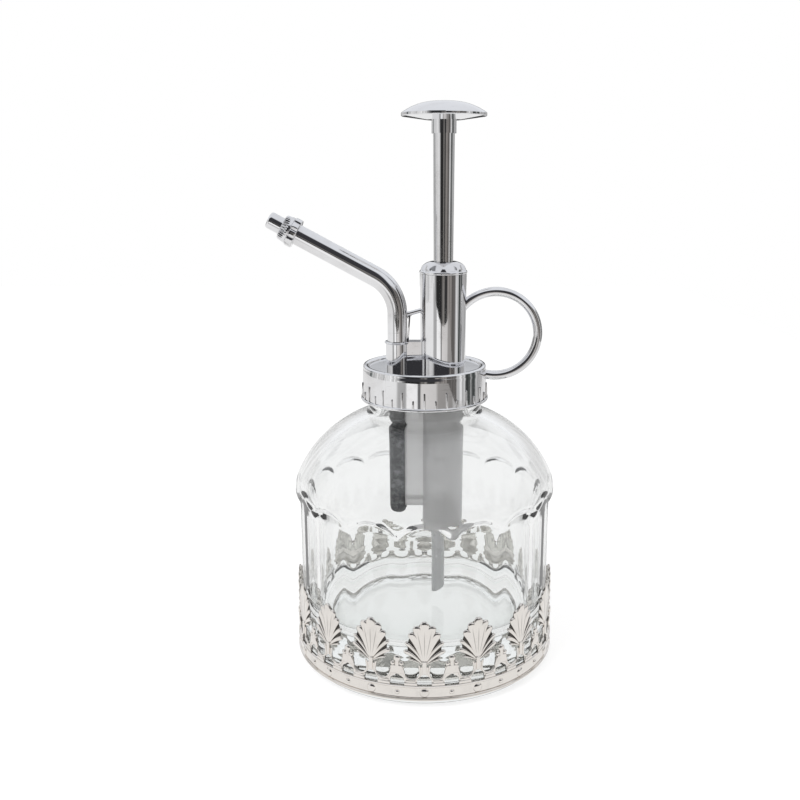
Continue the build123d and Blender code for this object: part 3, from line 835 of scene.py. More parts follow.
def move_points(piece: bpy.types.Object, rule: Callable[[Vector], Vector]) -> bpy.types.Object:
    """Moves every vertex by a rule written in millimetres.

    Args:
        piece: The object.
        rule: Gives a vertex's new place.

    Returns:
        The same object.
    """
    for vertex in piece.data.vertices:
        vertex.co = rule(vertex.co / MM) * MM
    piece.data.update()
    return piece


def ball(
    name: str, centre: Sequence[float], size: Sequence[float], segments: int = 14, rings: int = 8
) -> bpy.types.Object:
    """Adds a ball stretched to three half sizes.

    Args:
        name: Name of the piece.
        centre: Its centre.
        size: Half size along x, y and z.
        segments: Steps round the pole axis.
        rings: Steps from pole to pole.

    Returns:
        The piece.
    """
    return add_shape(
        name,
        bpy.ops.mesh.primitive_uv_sphere_add,
        segments=segments,
        ring_count=rings,
        radius=MM,
        location=[value * MM for value in centre],
        scale=size,
    )


def block(
    name: str, centre: Sequence[float], size: Sequence[float], bevel: float, foot: float = 1.0
) -> bpy.types.Object:
    """Adds a block with rounded edges, wider at its foot if wanted.

    Args:
        name: Name of the piece.
        centre: Its centre.
        size: Full size along x, y and z.
        bevel: Rounding of its edges.
        foot: Width of the foot as a share of the top's width.

    Returns:
        The piece.
    """
    place = [value * MM for value in centre]
    piece = add_shape(name, bpy.ops.mesh.primitive_cube_add, size=MM, location=place, scale=size)
    middle = Vector(centre)
    if foot != 1.0:
        move_points(
            piece,
            lambda p: Vector((middle.x + (p.x - middle.x) * (foot if p.z < middle.z else 1.0), p.y, p.z)),
        )
    return round_edges(piece, bevel)


class Outline:
    """Half section of a turned piece: a run of (radius, height) points."""

    def __init__(self, radius: float, height: float) -> None:
        """Starts the run.

        Args:
            radius: Distance of the first point from the axis.
            height: Its height.
        """
        self.points: list[Point] = [(radius, height)]

    def line(self, radius: float, height: float, steps: int = 1) -> "Outline":
        """Runs straight on.

        Args:
            radius: Radius of the end.
            height: Height of the end.
            steps: Number of equal steps.

        Returns:
            The outline.
        """
        last = self.points[-1]
        for step in range(1, steps + 1):
            share = step / steps
            self.points.append(
                (last[0] + (radius - last[0]) * share, last[1] + (height - last[1]) * share)
            )
        return self

    def bend(self, corner: Point, end: Point, steps: int = 5) -> "Outline":
        """Rounds a corner.

        Args:
            corner: The sharp corner that is rounded.
            end: Where the rounding ends.
            steps: Number of steps.

        Returns:
            The outline.
        """
        last = self.points[-1]
        for step in range(1, steps + 1):
            t = step / steps
            weights = ((1 - t) ** 2, 2 * t * (1 - t), t * t)
            self.points.append(
                tuple(sum(w * p[axis] for w, p in zip(weights, (last, corner, end))) for axis in (0, 1))
            )
        return self

    def arc(self, centre: Point, radius: float, start: float, end: float, steps: int) -> "Outline":
        """Follows an arc.

        Args:
            centre: Centre of the arc.
            radius: Its radius.
            start: Angle of its start in degrees.
            end: Angle of its end in degrees.
            steps: Number of steps.

        Returns:
            The outline.
        """
        for step in range(steps + 1):
            angle = math.radians(start + (end - start) * step / steps)
            self.points.append(
                (centre[0] + radius * math.cos(angle), centre[1] + radius * math.sin(angle))
            )
        return self

    def turn(self, name: str, segments: int, axis_x: float = 0.0) -> bpy.types.Object:
        """Draws the outline point by point and spins it about an upright axis.

        Args:
            name: Name of the piece.
            segments: Steps of the full turn.
            axis_x: Where the axis stands on X.

        Returns:
            The piece.
        """
        radius, height = self.points[0]
        start = ((axis_x + radius) * MM, 0, height * MM)
        piece = add_shape(name, bpy.ops.mesh.primitive_plane_add, size=MM, location=start)
        bpy.ops.object.mode_set(mode="EDIT")
        bpy.ops.mesh.select_mode(type="VERT")
        bpy.ops.mesh.select_all(action="SELECT")
        bpy.ops.mesh.merge(type="CENTER")
        for last, end in zip(self.points, self.points[1:]):
            step = ((end[0] - last[0]) * MM, 0, (end[1] - last[1]) * MM)
            if math.hypot(step[0], step[2]) > MERGE:
                bpy.ops.mesh.extrude_vertices_move(TRANSFORM_OT_translate={"value": step})
        bpy.ops.mesh.select_all(action="SELECT")
        bpy.ops.mesh.spin(
            steps=segments, angle=FULL_TURN, center=(axis_x * MM, 0, 0), axis=(0, 0, 1)
        )
        bpy.ops.object.mode_set(mode="OBJECT")
        return weld(piece)


def thicken(plate: bpy.types.Object, depth: float) -> bpy.types.Object:
    """Extrudes a flat drawing outwards.

    Args:
        plate: A flat piece that faces -Y.
        depth: Thickness.

    Returns:
        The same object.
    """
    edit_all(plate)
    bpy.ops.mesh.extrude_region_move(TRANSFORM_OT_translate={"value": (0, -depth * MM, 0)})
    bpy.ops.mesh.select_all(action="SELECT")
    bpy.ops.mesh.normals_make_consistent(inside=False)
    bpy.ops.object.mode_set(mode="OBJECT")
    return plate


def smooth_min(first: float, second: float, reach: float) -> float:
    """Smaller of two values, rounded where they are close.

    Args:
        first: One value.
        second: The other.
        reach: Difference below which the rounding starts.

    Returns:
        The rounded minimum.
    """
    near = max(reach - abs(first - second), 0.0) / reach
    return min(first, second) - near * near * reach / 4


def wall_point(across: float, height: float, out: float, radius: float) -> Vector:
    """Bends a flat drawing round the bottle, its middle at the front.

    Args:
        across: Distance to the right of the middle, along the wall.
        height: Height.
        out: Distance outwards.
        radius: Radius of the wall.

    Returns:
        The point in millimetres.
    """
    angle = across / radius
    reach = radius + out
    return Vector((reach * math.sin(angle), -reach * math.cos(angle), height))


# Pieces


@dataclass
class Dresser:
    """Gives finishes to pieces and ties them to the frame."""

    frame: dict
    finishes: dict[Slot, bpy.types.Material]

    def dress(self, piece: bpy.types.Object, slot: Slot) -> None:
        """Gives a piece one finish.

        Args:
            piece: The object.
            slot: Which finish.
        """
        piece.data.materials.clear()
        piece.data.materials.append(self.finishes[slot])
        for face in piece.data.polygons:
            face.material_index = 0

    def hand_over(self, piece: bpy.types.Object, body: str, slot: Slot, *nodes: str) -> None:
        """Dresses a new piece, lets it ride and says what it stands for.

        Args:
            piece: The object.
            body: Body that it rides on.
            slot: Its finish.
            nodes: CAD nodes that it replaces.
        """
        self.dress(piece, slot)
        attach(piece, body)
        if nodes:
            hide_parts(*nodes)
        LOG.info("%s: %d faces on %s", piece.name, len(piece.data.polygons), body)


@dataclass
class GlassBottle:
    """Clear pressed bottle: turned section with sixteen flats that end in arches, and its neck thread."""

    segments: int = 352
    radius: float = 38.6
    foot_radius: float = 37.85
    foot_height: float = 3.2
    foot_round: float = 1.4
    foot_flare: float = 0.2
    punt: tuple[float, float, float] = (31.0, 25.0, 1.6)
    punt_bend: float = 1.5
    punt_bend_share: float = 0.7
    flats: int = 16
    flat_bottom: float = 4.0
    fine_above_foot: float = 2.0
    fine_below_arch: float = 8.0
    ridge_top: float = 49.5
    arch_rise: float = 3.5
    arch_slope: float = 35.0
    ridge_round: float = 0.7
    arch_round: float = 2.0
    shoulder_rise: float = 3.3
    shoulder_flare: float = 0.7
    shoulder_curve: float = 13.0
    shoulder_turn: float = 27.0
    dome_curve: float = 36.0
    neck_radius: float = 16.75
    neck_height: float = 8.75
    root_reach: float = 1.1
    inner_root_reach: float = 4.0
    lip: float = 0.8
    rim_round: float = 0.4
    wall: float = 3.6
    floor: float = 15.0
    floor_round: float = 7.0
    thread_low: float = 3.2
    thread_rise: float = 4.23
    thread_radius: float = 0.42
    thread_out: float = 0.05
    thread_turn: float = 395.0
    thread_steps: int = 120

    def _dome(self, inset: float) -> tuple[Point, Point, float, float, float]:
        """Centres and radii of the shoulder's and the dome's arcs.

        Args:
            inset: Depth of the face inside the glass.

        Returns:
            Shoulder centre, dome centre, shoulder radius, dome radius and the angle at the neck.
        """
        level = self.ridge_top + self.shoulder_rise
        centre = self.radius + self.shoulder_flare - self.shoulder_curve
        turn = math.radians(self.shoulder_turn)
        gap = self.shoulder_curve - self.dome_curve
        dome = (centre + gap * math.cos(turn), level + gap * math.sin(turn))
        neck = math.acos((self.neck_radius - inset - dome[0]) / (self.dome_curve - inset))
        return (centre, level), dome, self.shoulder_curve - inset, self.dome_curve - inset, math.degrees(neck)

    def outside(self, outline: Outline) -> Point:
        """Draws the outer face from the foot up to the rim.

        Args:
            outline: Outline to go on with.

        Returns:
            The corner between dome and neck.
        """
        shoulder, dome, low_curve, high_curve, neck = self._dome(0.0)
        outline.line(self.punt[1], self.punt[2], 3)
        bend = (self.punt[0] - self.punt_bend, self.punt[2] * self.punt_bend_share)
        outline.bend(bend, (self.punt[0], 0.0), 5)
        outline.line(self.foot_radius - self.foot_round, 0.0, 2)
        outline.bend((self.foot_radius, 0.0), (self.foot_radius + self.foot_flare, self.foot_round), 6)
        outline.line(self.radius, self.foot_height, 3)
        outline.line(self.radius, self.flat_bottom + self.fine_above_foot, 6)
        outline.line(self.radius, self.ridge_top - self.fine_below_arch, 18)
        outline.line(self.radius, self.ridge_top, 14)
        outline.line(self.radius + self.shoulder_flare, shoulder[1], 9)
        outline.arc(shoulder, low_curve, 0.0, self.shoulder_turn, 12)
        reach = math.degrees(self.root_reach / high_curve)
        outline.arc(dome, high_curve, self.shoulder_turn, neck - reach, 24)
        corner = (self.neck_radius, dome[1] + high_curve * math.sin(math.radians(neck)))
        outline.bend(corner, (self.neck_radius, corner[1] + self.root_reach), 8)
        top = corner[1] + self.neck_height
        outline.line(self.neck_radius, top - self.lip, 6)
        outline.bend((self.neck_radius, top), (self.neck_radius - self.lip, top), 5)
        return corner

    def inside(self, outline: Outline, corner: Point) -> None:
        """Draws the inner face from the rim down to the middle of the floor.

        Args:
            outline: Outline to go on with.
            corner: Corner between dome and neck on the outer face.
        """
        shoulder, dome, low_curve, high_curve, neck = self._dome(self.wall)
        bore = self.neck_radius - self.wall
        top = corner[1] + self.neck_height
        inner_corner = (bore, dome[1] + high_curve * math.sin(math.radians(neck)))
        reach = self.inner_root_reach
        outline.line(bore + self.rim_round, top, 1).bend((bore, top), (bore, top - self.rim_round), 3)
        outline.line(bore, inner_corner[1] + reach, 5)
        turn = math.degrees(reach / high_curve)
        angle = math.radians(neck - turn)
        end = (dome[0] + high_curve * math.cos(angle), dome[1] + high_curve * math.sin(angle))
        outline.bend(inner_corner, end, 9)
        outline.arc(dome, high_curve, neck - turn, self.shoulder_turn, 22)
        outline.arc(shoulder, low_curve, self.shoulder_turn, 0.0, 8)
        side = self.radius - self.wall
        outline.line(side, self.ridge_top, 4)
        outline.line(side, self.floor + self.floor_round, 10)
        outline.bend((side, self.floor), (side - self.floor_round, self.floor), 9)
        outline.line(0.0, self.floor, 8)

    def press_flats(self, point: Vector) -> Vector:
        """Presses the sixteen flats and their arches into the outer face.

        Args:
            point: A point of the turned bottle.

        Returns:
            Its place after pressing.
        """
        radius = math.hypot(point.x, point.y)
        if radius < self.radius - self.wall / 2 or not 0 < point.z < self.ridge_top + 3 * self.arch_rise:
            return point
        sector = FULL_TURN / self.flats
        angle = math.atan2(point.x, -point.y)
        apothem = self.radius * math.cos(sector / 2)
        half = self.radius * math.sin(sector / 2)
        curve = (half * half + self.arch_rise**2) / (2 * self.arch_rise)
        centre = self.ridge_top + self.arch_rise - curve
        rise = 1 / math.tan(math.radians(self.arch_slope))
        nearest = round(angle / sector)
        cuts = []
        for index in (nearest - 1, nearest, nearest + 1):
            off = angle - index * sector
            side = radius * math.sin(off)
            over = math.hypot(side, max(0.0, point.z - centre)) - curve
            below = self.flat_bottom - point.z
            cuts.append(apothem / math.cos(off) + rise * (max(0.0, over) + max(0.0, below)))
        cuts.sort()
        pressed = smooth_min(smooth_min(cuts[0], cuts[1], self.ridge_round), radius, self.arch_round)
        share = pressed / radius
        return Vector((point.x * share, point.y * share, point.z))

    def thread(self, corner: Point) -> bpy.types.Object:
        """Winds the thread round the neck.

        Args:
            corner: Corner between dome and neck.

        Returns:
            The thread.
        """
        thread = add_shape(
            "neck_thread",
            bpy.ops.mesh.primitive_circle_add,
            vertices=10,
            radius=self.thread_radius * MM,
            location=((self.neck_radius + self.thread_out) * MM, 0, (corner[1] + self.thread_low) * MM),
            rotation=(math.pi / 2, 0, 0),
            fill_type="NGON",
        )
        screw = thread.modifiers.new("wind", "SCREW")
        screw.angle = math.radians(self.thread_turn)
        screw.screw_offset = self.thread_rise * MM * self.thread_turn / 360
        screw.steps = self.thread_steps
        screw.render_steps = self.thread_steps
        screw.use_merge_vertices = True
        screw.merge_threshold = MERGE
        pick(thread)
        bpy.ops.object.modifier_apply(modifier=screw.name)
        return soften(weld(thread), 40)

    def build(self, dresser: Dresser) -> None:
        """Builds the bottle and its thread.

        Args:
            dresser: Gives finishes and bodies.
        """
        outline = Outline(0.0, self.punt[2])
        corner = self.outside(outline)
        self.inside(outline, corner)
        bottle = outline.turn("pressed_bottle", self.segments)
        move_points(bottle, self.press_flats)
        soften(bottle, 70)
        dresser.hand_over(bottle, "bottle", Slot.GLASS, "glass_bottle")
        dresser.hand_over(self.thread(corner), "bottle", Slot.GLASS)


@dataclass
class BaseBand:
    """Stamped strip round the foot: a rail with bosses, and palmettes and finials in turn."""

    count: int = 16
    inner: float = 38.8
    low: float = 2.3
    rail_top: float = 7.0
    rail_out: float = 0.95
    rail_field: float = 0.4
    rail_groove: float = 0.3
    rail_lip: float = 0.05
    lip_levels: tuple[float, ...] = (0.25, 0.45, 0.5)
    line_levels: tuple[float, ...] = (0.52, 0.72, 0.92, 0.95, 1.05)
    bead_levels: tuple[float, ...] = (0.85, 0.75, 0.72, 0.45, 0.15)
    rail_steps: int = 256
    leaf_bottom: float = 13.2
    leaf_out: float = 0.3
    ribs: tuple[tuple[Point, Point, float, float], ...] = (
        ((0.0, 13.0), (0.0, 26.3), 3.0, 0.5),
        ((0.2, 13.6), (2.3, 25.0), 2.8, 0.46),
        ((0.35, 14.0), (3.95, 22.9), 2.3, 0.44),
        ((0.5, 14.2), (5.3, 20.1), 1.2, 0.46),
        ((0.5, 13.6), (5.7, 17.5), 1.35, 0.46),
        ((0.4, 13.2), (4.5, 15.1), 0.6, 0.4),
    )
    tip_share: float = 0.86
    root_width_share: float = 0.3
    root_depth_share: float = 0.55
    root_point_share: float = 0.05
    widening: float = 0.8
    rib_bow: float = 0.05
    rib_flatness: float = 0.62
    ring_radius: float = 2.28
    ring_wire: float = 0.3
    ring_level: float = 10.9
    ring_centre: float = 3.45
    arm_share: float = 0.12
    arm_rise: float = 1.6
    inner_arm: tuple[float, float] = (2.2, 0.3)
    outer_arm: tuple[float, float] = (1.5, 0.0)
    plate_out: float = 0.46
    backing_half: float = 5.1
    backing_taper: float = 1.9
    backing_height: float = 12.2
    backing_rise: float = 0.2
    backing_depth: float = 0.2
    window_apex: float = 10.4
    window_side: tuple[float, float] = (2.05, 8.9)
    side_shares: tuple[float, float] = (0.3, 0.34)
    stem: tuple[float, float] = (1.25, 0.9)
    stem_out: float = 0.4
    stem_overlap: float = 1.2
    stem_bevel: float = 0.2
    stem_spread: float = 0.85
    foot_size: tuple[float, float, float] = (3.5, 0.8, 0.9)
    foot_bevel: float = 0.14
    foot_sink: float = 0.1
    foot_spread: float = 1.05
    step_inset: float = 0.7
    step_height: float = 0.7
    step_lift: float = 0.2
    finial_balls: tuple[tuple[str, Place, Place], ...] = (
        ("top_ball", (0, -0.45, 8.0), (1.0, 0.55, 1.05)),
        ("left_ball", (-1.2, -0.45, 6.5), (0.68, 0.5, 0.68)),
        ("right_ball", (1.2, -0.45, 6.5), (0.68, 0.5, 0.68)),
    )
    finial_blocks: tuple[tuple[str, Place, Place, float, float], ...] = (
        ("neck", (0, -0.35, 6.6), (1.1, 0.8, 2.6), 0.2, 1.0),
        ("body", (0, -0.35, 4.75), (3.0, 0.85, 2.7), 0.25, 1.5),
    )
    boss_sink: float = 0.6
    boss_lift: float = 0.05
    boss_depth: tuple[float, float] = (0.73, 0.7)
    large_boss: float = 1.42
    small_boss: float = 0.8

    @property
    def pitch(self) -> float:
        """Distance between two palmettes along the wall."""
        return FULL_TURN * self.inner / self.count

    def _lobe(self, name: str, root: Point, tip: Point, width: float, thick: float) -> bpy.types.Object:
        """One rib of a leaf: narrow at its root, broad and round at its tip.

        Args:
            name: Name of the rib.
            root: Where it starts, across and height.
            tip: Where it ends.
            width: Its greatest width.
            thick: Half its thickness.

        Returns:
            The rib, drawn flat with outwards along -Y.
        """
        rib = ball(name, (0, 0, 0), (1, 1, 1), 12, 12)
        length = math.hypot(tip[0] - root[0], tip[1] - root[1])
        lean = math.atan2(tip[0] - root[0], tip[1] - root[1])

        def shape(point: Vector) -> Vector:
            """Draws the ball out to the rib's outline and leans it.

            Args:
                point: A point of the ball.

            Returns:
                Its place on the rib.
            """
            share = (point.z + 1) / 2
            crown = max(0.0, share - self.tip_share) / (1 - self.tip_share)
            grown = min(share / self.tip_share, 1.0) ** self.widening
            wide = (self.root_width_share + (1 - self.root_width_share) * grown) * math.sqrt(1 - crown**2)
            wide *= min(1.0, share / self.root_point_share) ** 0.5
            round_off = max(math.sqrt(max(0.0, 1 - point.z**2)), 1e-6)
            side = point.x / round_off * wide * width / 2
            level = math.copysign(abs(point.y / round_off) ** self.rib_flatness, point.y)
            deep = self.root_depth_share + (1 - self.root_depth_share) * share
            out = level * thick * deep * math.sqrt(1 - crown**4)
            along = share * length
            bow = math.copysign(self.rib_bow, lean) * math.sin(share * math.pi) if abs(lean) > 0.05 else 0.0
            side -= bow * length
            across = root[0] + side * math.cos(lean) + along * math.sin(lean)
            height = root[1] + along * math.cos(lean) - side * math.sin(lean)
            return Vector((across, out - self.leaf_out, height))

        return move_points(rib, shape)

    def _leaf(self) -> list[bpy.types.Object]:
        """The palmette's leaf: a broad heart of ribs grown together, and free ribs below it.

        Returns:
            Its pieces, drawn flat.
        """
        parts = [self._backing()]
        for index, (root, tip, width, thick) in enumerate(self.ribs):
            for side in (-1, 1) if tip[0] else (1,):
                ends = ((side * root[0], root[1]), (side * tip[0], tip[1]))
                parts.append(self._lobe(f"rib{index}", *ends, width, thick))
        return parts

    def _backing(self) -> bpy.types.Object:
        """Thin plate behind the ribs, so that the grooves between them have a floor.

        Returns:
            The plate, drawn flat.
        """
        plate = add_shape(
            "leaf_back",
            bpy.ops.mesh.primitive_circle_add,
            vertices=40,
            radius=MM,
            location=(0, 0, 0),
            rotation=(math.pi / 2, 0, 0),
            fill_type="NGON",
        )

        def leaf_edge(point: Vector) -> Vector:
            """Stretches the disc to just inside the ribs' tips.

            Args:
                point: A point of the disc.

            Returns:
                Its place on the plate.
            """
            up = (point.z + 1) / 2
            half = self.backing_half - self.backing_taper * up * up
            level = self.leaf_bottom + self.backing_rise + self.backing_height * up
            return Vector((point.x * half, 0, level))

        return thicken(move_points(plate, leaf_edge), self.backing_depth)

    def _ring(self, side: int) -> bpy.types.Object:
        """Raised U beside the stem, with its two arms running up.

        Args:
            side: -1 for left, 1 for right.

        Returns:
            The U, drawn flat.
        """
        ring = add_shape(
            "scroll",
            bpy.ops.mesh.primitive_torus_add,
            major_segments=36,
            minor_segments=8,
            major_radius=self.ring_radius * MM,
            minor_radius=self.ring_wire * MM,
            location=(0, 0, 0),
            rotation=(math.pi / 2, 0, 0),
        )
        edit_all(ring)
        bpy.ops.mesh.bisect(plane_co=(0, 0, 0), plane_no=(0, 0, 1), clear_outer=True, use_fill=False)
        bpy.ops.object.mode_set(mode="OBJECT")
        for inner in (True, False):
            self._raise_arm(ring, side, inner)

        def place(point: Vector) -> Vector:
            """Sets the U beside the stem.

            Args:
                point: A point of the U.

            Returns:
                Its place.
            """
            across = point.x + side * self.ring_centre
            return Vector((across, point.y - self.plate_out, point.z + self.ring_level))

        return move_points(ring, place)

    def _spandrel(self, side: int) -> bpy.types.Object:
        """Plate between a U and the windows on both sides of it, down to the rail.

        Args:
            side: -1 for left, 1 for right.

        Returns:
            The plate, drawn flat.
        """
        plate = add_shape(
            "spandrel", bpy.ops.mesh.primitive_grid_add, x_subdivisions=48, y_subdivisions=2, size=2 * MM
        )
        edge, shoulder = self.window_side
        half = self.pitch / 2
        foot = self.rail_top - self.foot_sink
        top = self.ring_level + self.arm_rise
        arm = self.arm_share
        left = (
            (0.0, (0.0, top)),
            (arm, (0.0, self.window_apex)),
            (self.side_shares[0], (edge, shoulder)),
            (self.side_shares[1], (edge, foot)),
        )
        low = left + tuple((1 - share, (half - point[0], point[1])) for share, point in reversed(left))

        def inner_edge(share: float) -> Point:
            """Follows the middle of the U's wire from the stem round to the finial.

            Args:
                share: Share of the way, 0 at the stem.

            Returns:
                The point, across and height.
            """
            along = (share - arm) / (1 - 2 * arm)
            if 0 <= along <= 1:
                turn = math.pi * (1 + along)
                return (
                    self.ring_centre + self.ring_radius * math.cos(turn),
                    self.ring_level + self.ring_radius * math.sin(turn),
                )
            rise = (arm - min(share, 1 - share)) / arm * self.arm_rise
            return (self.ring_centre - math.copysign(self.ring_radius, -along), self.ring_level + rise)

        def outer_edge(share: float) -> Point:
            """Follows the windows' gables and the rail.

            Args:
                share: Share of the way, 0 at the stem.

            Returns:
                The point, across and height.
            """
            for (start, first), (end, second) in zip(low, low[1:]):
                if share <= end:
                    part = (share - start) / (end - start)
                    return tuple(a + (b - a) * part for a, b in zip(first, second))
            return low[-1][1]

        def place(point: Vector) -> Vector:
            """Stretches the grid between the two edges.

            Args:
                point: A point of the grid.

            Returns:
                Its place on the plate.
            """
            share = min(1.0, max(0.0, (point.x + 1) / 2))
            near, far = inner_edge(share), outer_edge(share)
            part = (point.y + 1) / 2
            across = near[0] + (far[0] - near[0]) * part
            return Vector((side * across, 0.0, near[1] + (far[1] - near[1]) * part))

        return thicken(move_points(plate, place), self.plate_out)

    def _raise_arm(self, ring: bpy.types.Object, side: int, inner: bool) -> None:
        """Extrudes one open end of the U upwards.

        Args:
            ring: The half ring.
            side: -1 for left, 1 for right.
            inner: True for the arm next to the stem.
        """
        pick(ring)
        wanted = -side if inner else side
        bpy.ops.object.mode_set(mode="EDIT")
        bpy.ops.mesh.select_all(action="DESELECT")
        bpy.ops.mesh.select_mode(type="EDGE")
        bpy.ops.object.mode_set(mode="OBJECT")
        points = ring.data.vertices
        top = max(point.co.z for point in points)
        for edge in ring.data.edges:
            ends = [points[index].co for index in edge.vertices]
            edge.select = all(end.z > top - MERGE and end.x * wanted > 0 for end in ends)
        bpy.ops.object.mode_set(mode="EDIT")
        rise, lean = self.inner_arm if inner else self.outer_arm
        step = (-lean * wanted * MM / 2, 0, rise * MM / 2)
        for _ in range(2):
            bpy.ops.mesh.extrude_region_move(TRANSFORM_OT_translate={"value": step})
        bpy.ops.mesh.edge_face_add()
        bpy.ops.mesh.select_mode(type="VERT")
        bpy.ops.object.mode_set(mode="OBJECT")

    def _palmette(self) -> bpy.types.Object:
        """Whole palmette with its stem, and on both sides a U, its plate and its stepped foot.

        Returns:
            One piece, bent round the bottle at the front.
        """
        parts = self._leaf()
        rise = self.leaf_bottom + self.stem_overlap - self.window_apex
        middle = (0, -self.stem_out, self.window_apex + rise / 2)
        parts.append(block("stem", middle, (*self.stem, rise), self.stem_bevel, self.stem_spread))
        wide, deep, high = self.foot_size
        step_size = (wide - self.step_inset, deep, self.step_height)
        for side in (-1, 1):
            across = side * self.pitch / 4
            foot = (across, -deep / 2, self.rail_top + high / 2 - self.foot_sink)
            step = (across, -deep / 2 + self.foot_sink, self.rail_top + high + self.step_lift)
            parts += [
                self._ring(side),
                self._spandrel(side),
                block("foot", foot, self.foot_size, self.foot_bevel, self.foot_spread),
                block("foot_step", step, step_size, self.foot_bevel),
            ]
        return self._bend(join("palmette", parts))

    def _finial(self) -> bpy.types.Object:
        """Small finial: a body with sloping sides, a neck and three balls.

        Returns:
            One piece, bent round the bottle at the front.
        """
        def over_rail(place: Place) -> Place:
            """Measures a place's height from the rail's upper edge.

            Args:
                place: The place with its height over the rail.

            Returns:
                The place with its full height.
            """
            return (place[0], place[1], self.rail_top + place[2])

        parts = [ball(name, over_rail(place), size) for name, place, size in self.finial_balls]
        for name, place, size, bevel, spread in self.finial_blocks:
            parts.append(block(name, over_rail(place), size, bevel, spread))
        return self._bend(join("finial", parts))

    def _bend(self, piece: bpy.types.Object) -> bpy.types.Object:
        """Bends a flat piece round the bottle.

        Args:
            piece: Drawn flat, outwards along -Y.

        Returns:
            The bent piece.
        """
        return move_points(piece, lambda p: wall_point(p.x, p.z, -p.y, self.inner))

    def _rail(self) -> bpy.types.Object:
        """Rail with a bead above and two fine lines below.

        Returns:
            The rail.
        """
        inner, out = self.inner, self.inner + self.rail_out
        field, lip = out - self.rail_field, out + self.rail_lip
        groove = self.rail_groove
        lips = [self.low + level for level in self.lip_levels]
        lines = [self.low + level for level in self.line_levels]
        beads = [self.rail_top - level for level in self.bead_levels]
        outline = Outline(inner, self.low)
        outline.line(out - 0.2, self.low).bend((lip, self.low), (lip, lips[0]), 3)
        outline.bend((lip, lips[1]), (out - groove, lips[2]), 3)
        outline.bend((out, lines[0]), (out, lines[1]), 3)
        outline.bend((out, lines[2]), (field - groove, lines[3]), 3)
        outline.line(field, lines[4]).line(field, beads[0], 4)
        outline.line(field - groove, beads[1])
        outline.bend((out, beads[2]), (out, beads[3]), 3)
        outline.bend((out, beads[4]), (out - groove, beads[4]), 3)
        outline.bend((out - 0.45, self.rail_top), (out - 0.6, self.rail_top), 2)
        outline.line(inner, self.rail_top).line(inner, self.low)
        return soften(outline.turn("rail", self.rail_steps), 32)

    def _boss(self, name: str, size: float, depth: float) -> bpy.types.Object:
        """Shiny dome sunk a little into the rail's face.

        Args:
            name: Name of the boss.
            size: Its radius.
            depth: How far it stands out.

        Returns:
            The boss at the front.
        """
        level = (self.low + self.rail_top) / 2 + self.boss_lift
        face = self.inner + self.rail_out - self.boss_sink
        dome = ball(name, (0, 0, 0), (size, depth, size), 24, 14)
        return move_points(dome, lambda p: wall_point(p.x, p.z + level, -p.y, face))

    def build(self, dresser: Dresser) -> None:
        """Builds the band.

        Args:
            dresser: Gives finishes and bodies.
        """
        half = math.pi / self.count
        parts = [self._rail()]
        parts += copy_turned(self._palmette(), self.count)
        parts += copy_turned(self._finial(), self.count, half)
        parts += copy_turned(self._boss("large_boss", self.large_boss, self.boss_depth[0]), self.count)
        parts += copy_turned(self._boss("small_boss", self.small_boss, self.boss_depth[1]), self.count, half)
        band = join("stamped_band", parts)
        soften(band, 50)
        dresser.hand_over(band, "bottle", Slot.STAMPED, "base_band")


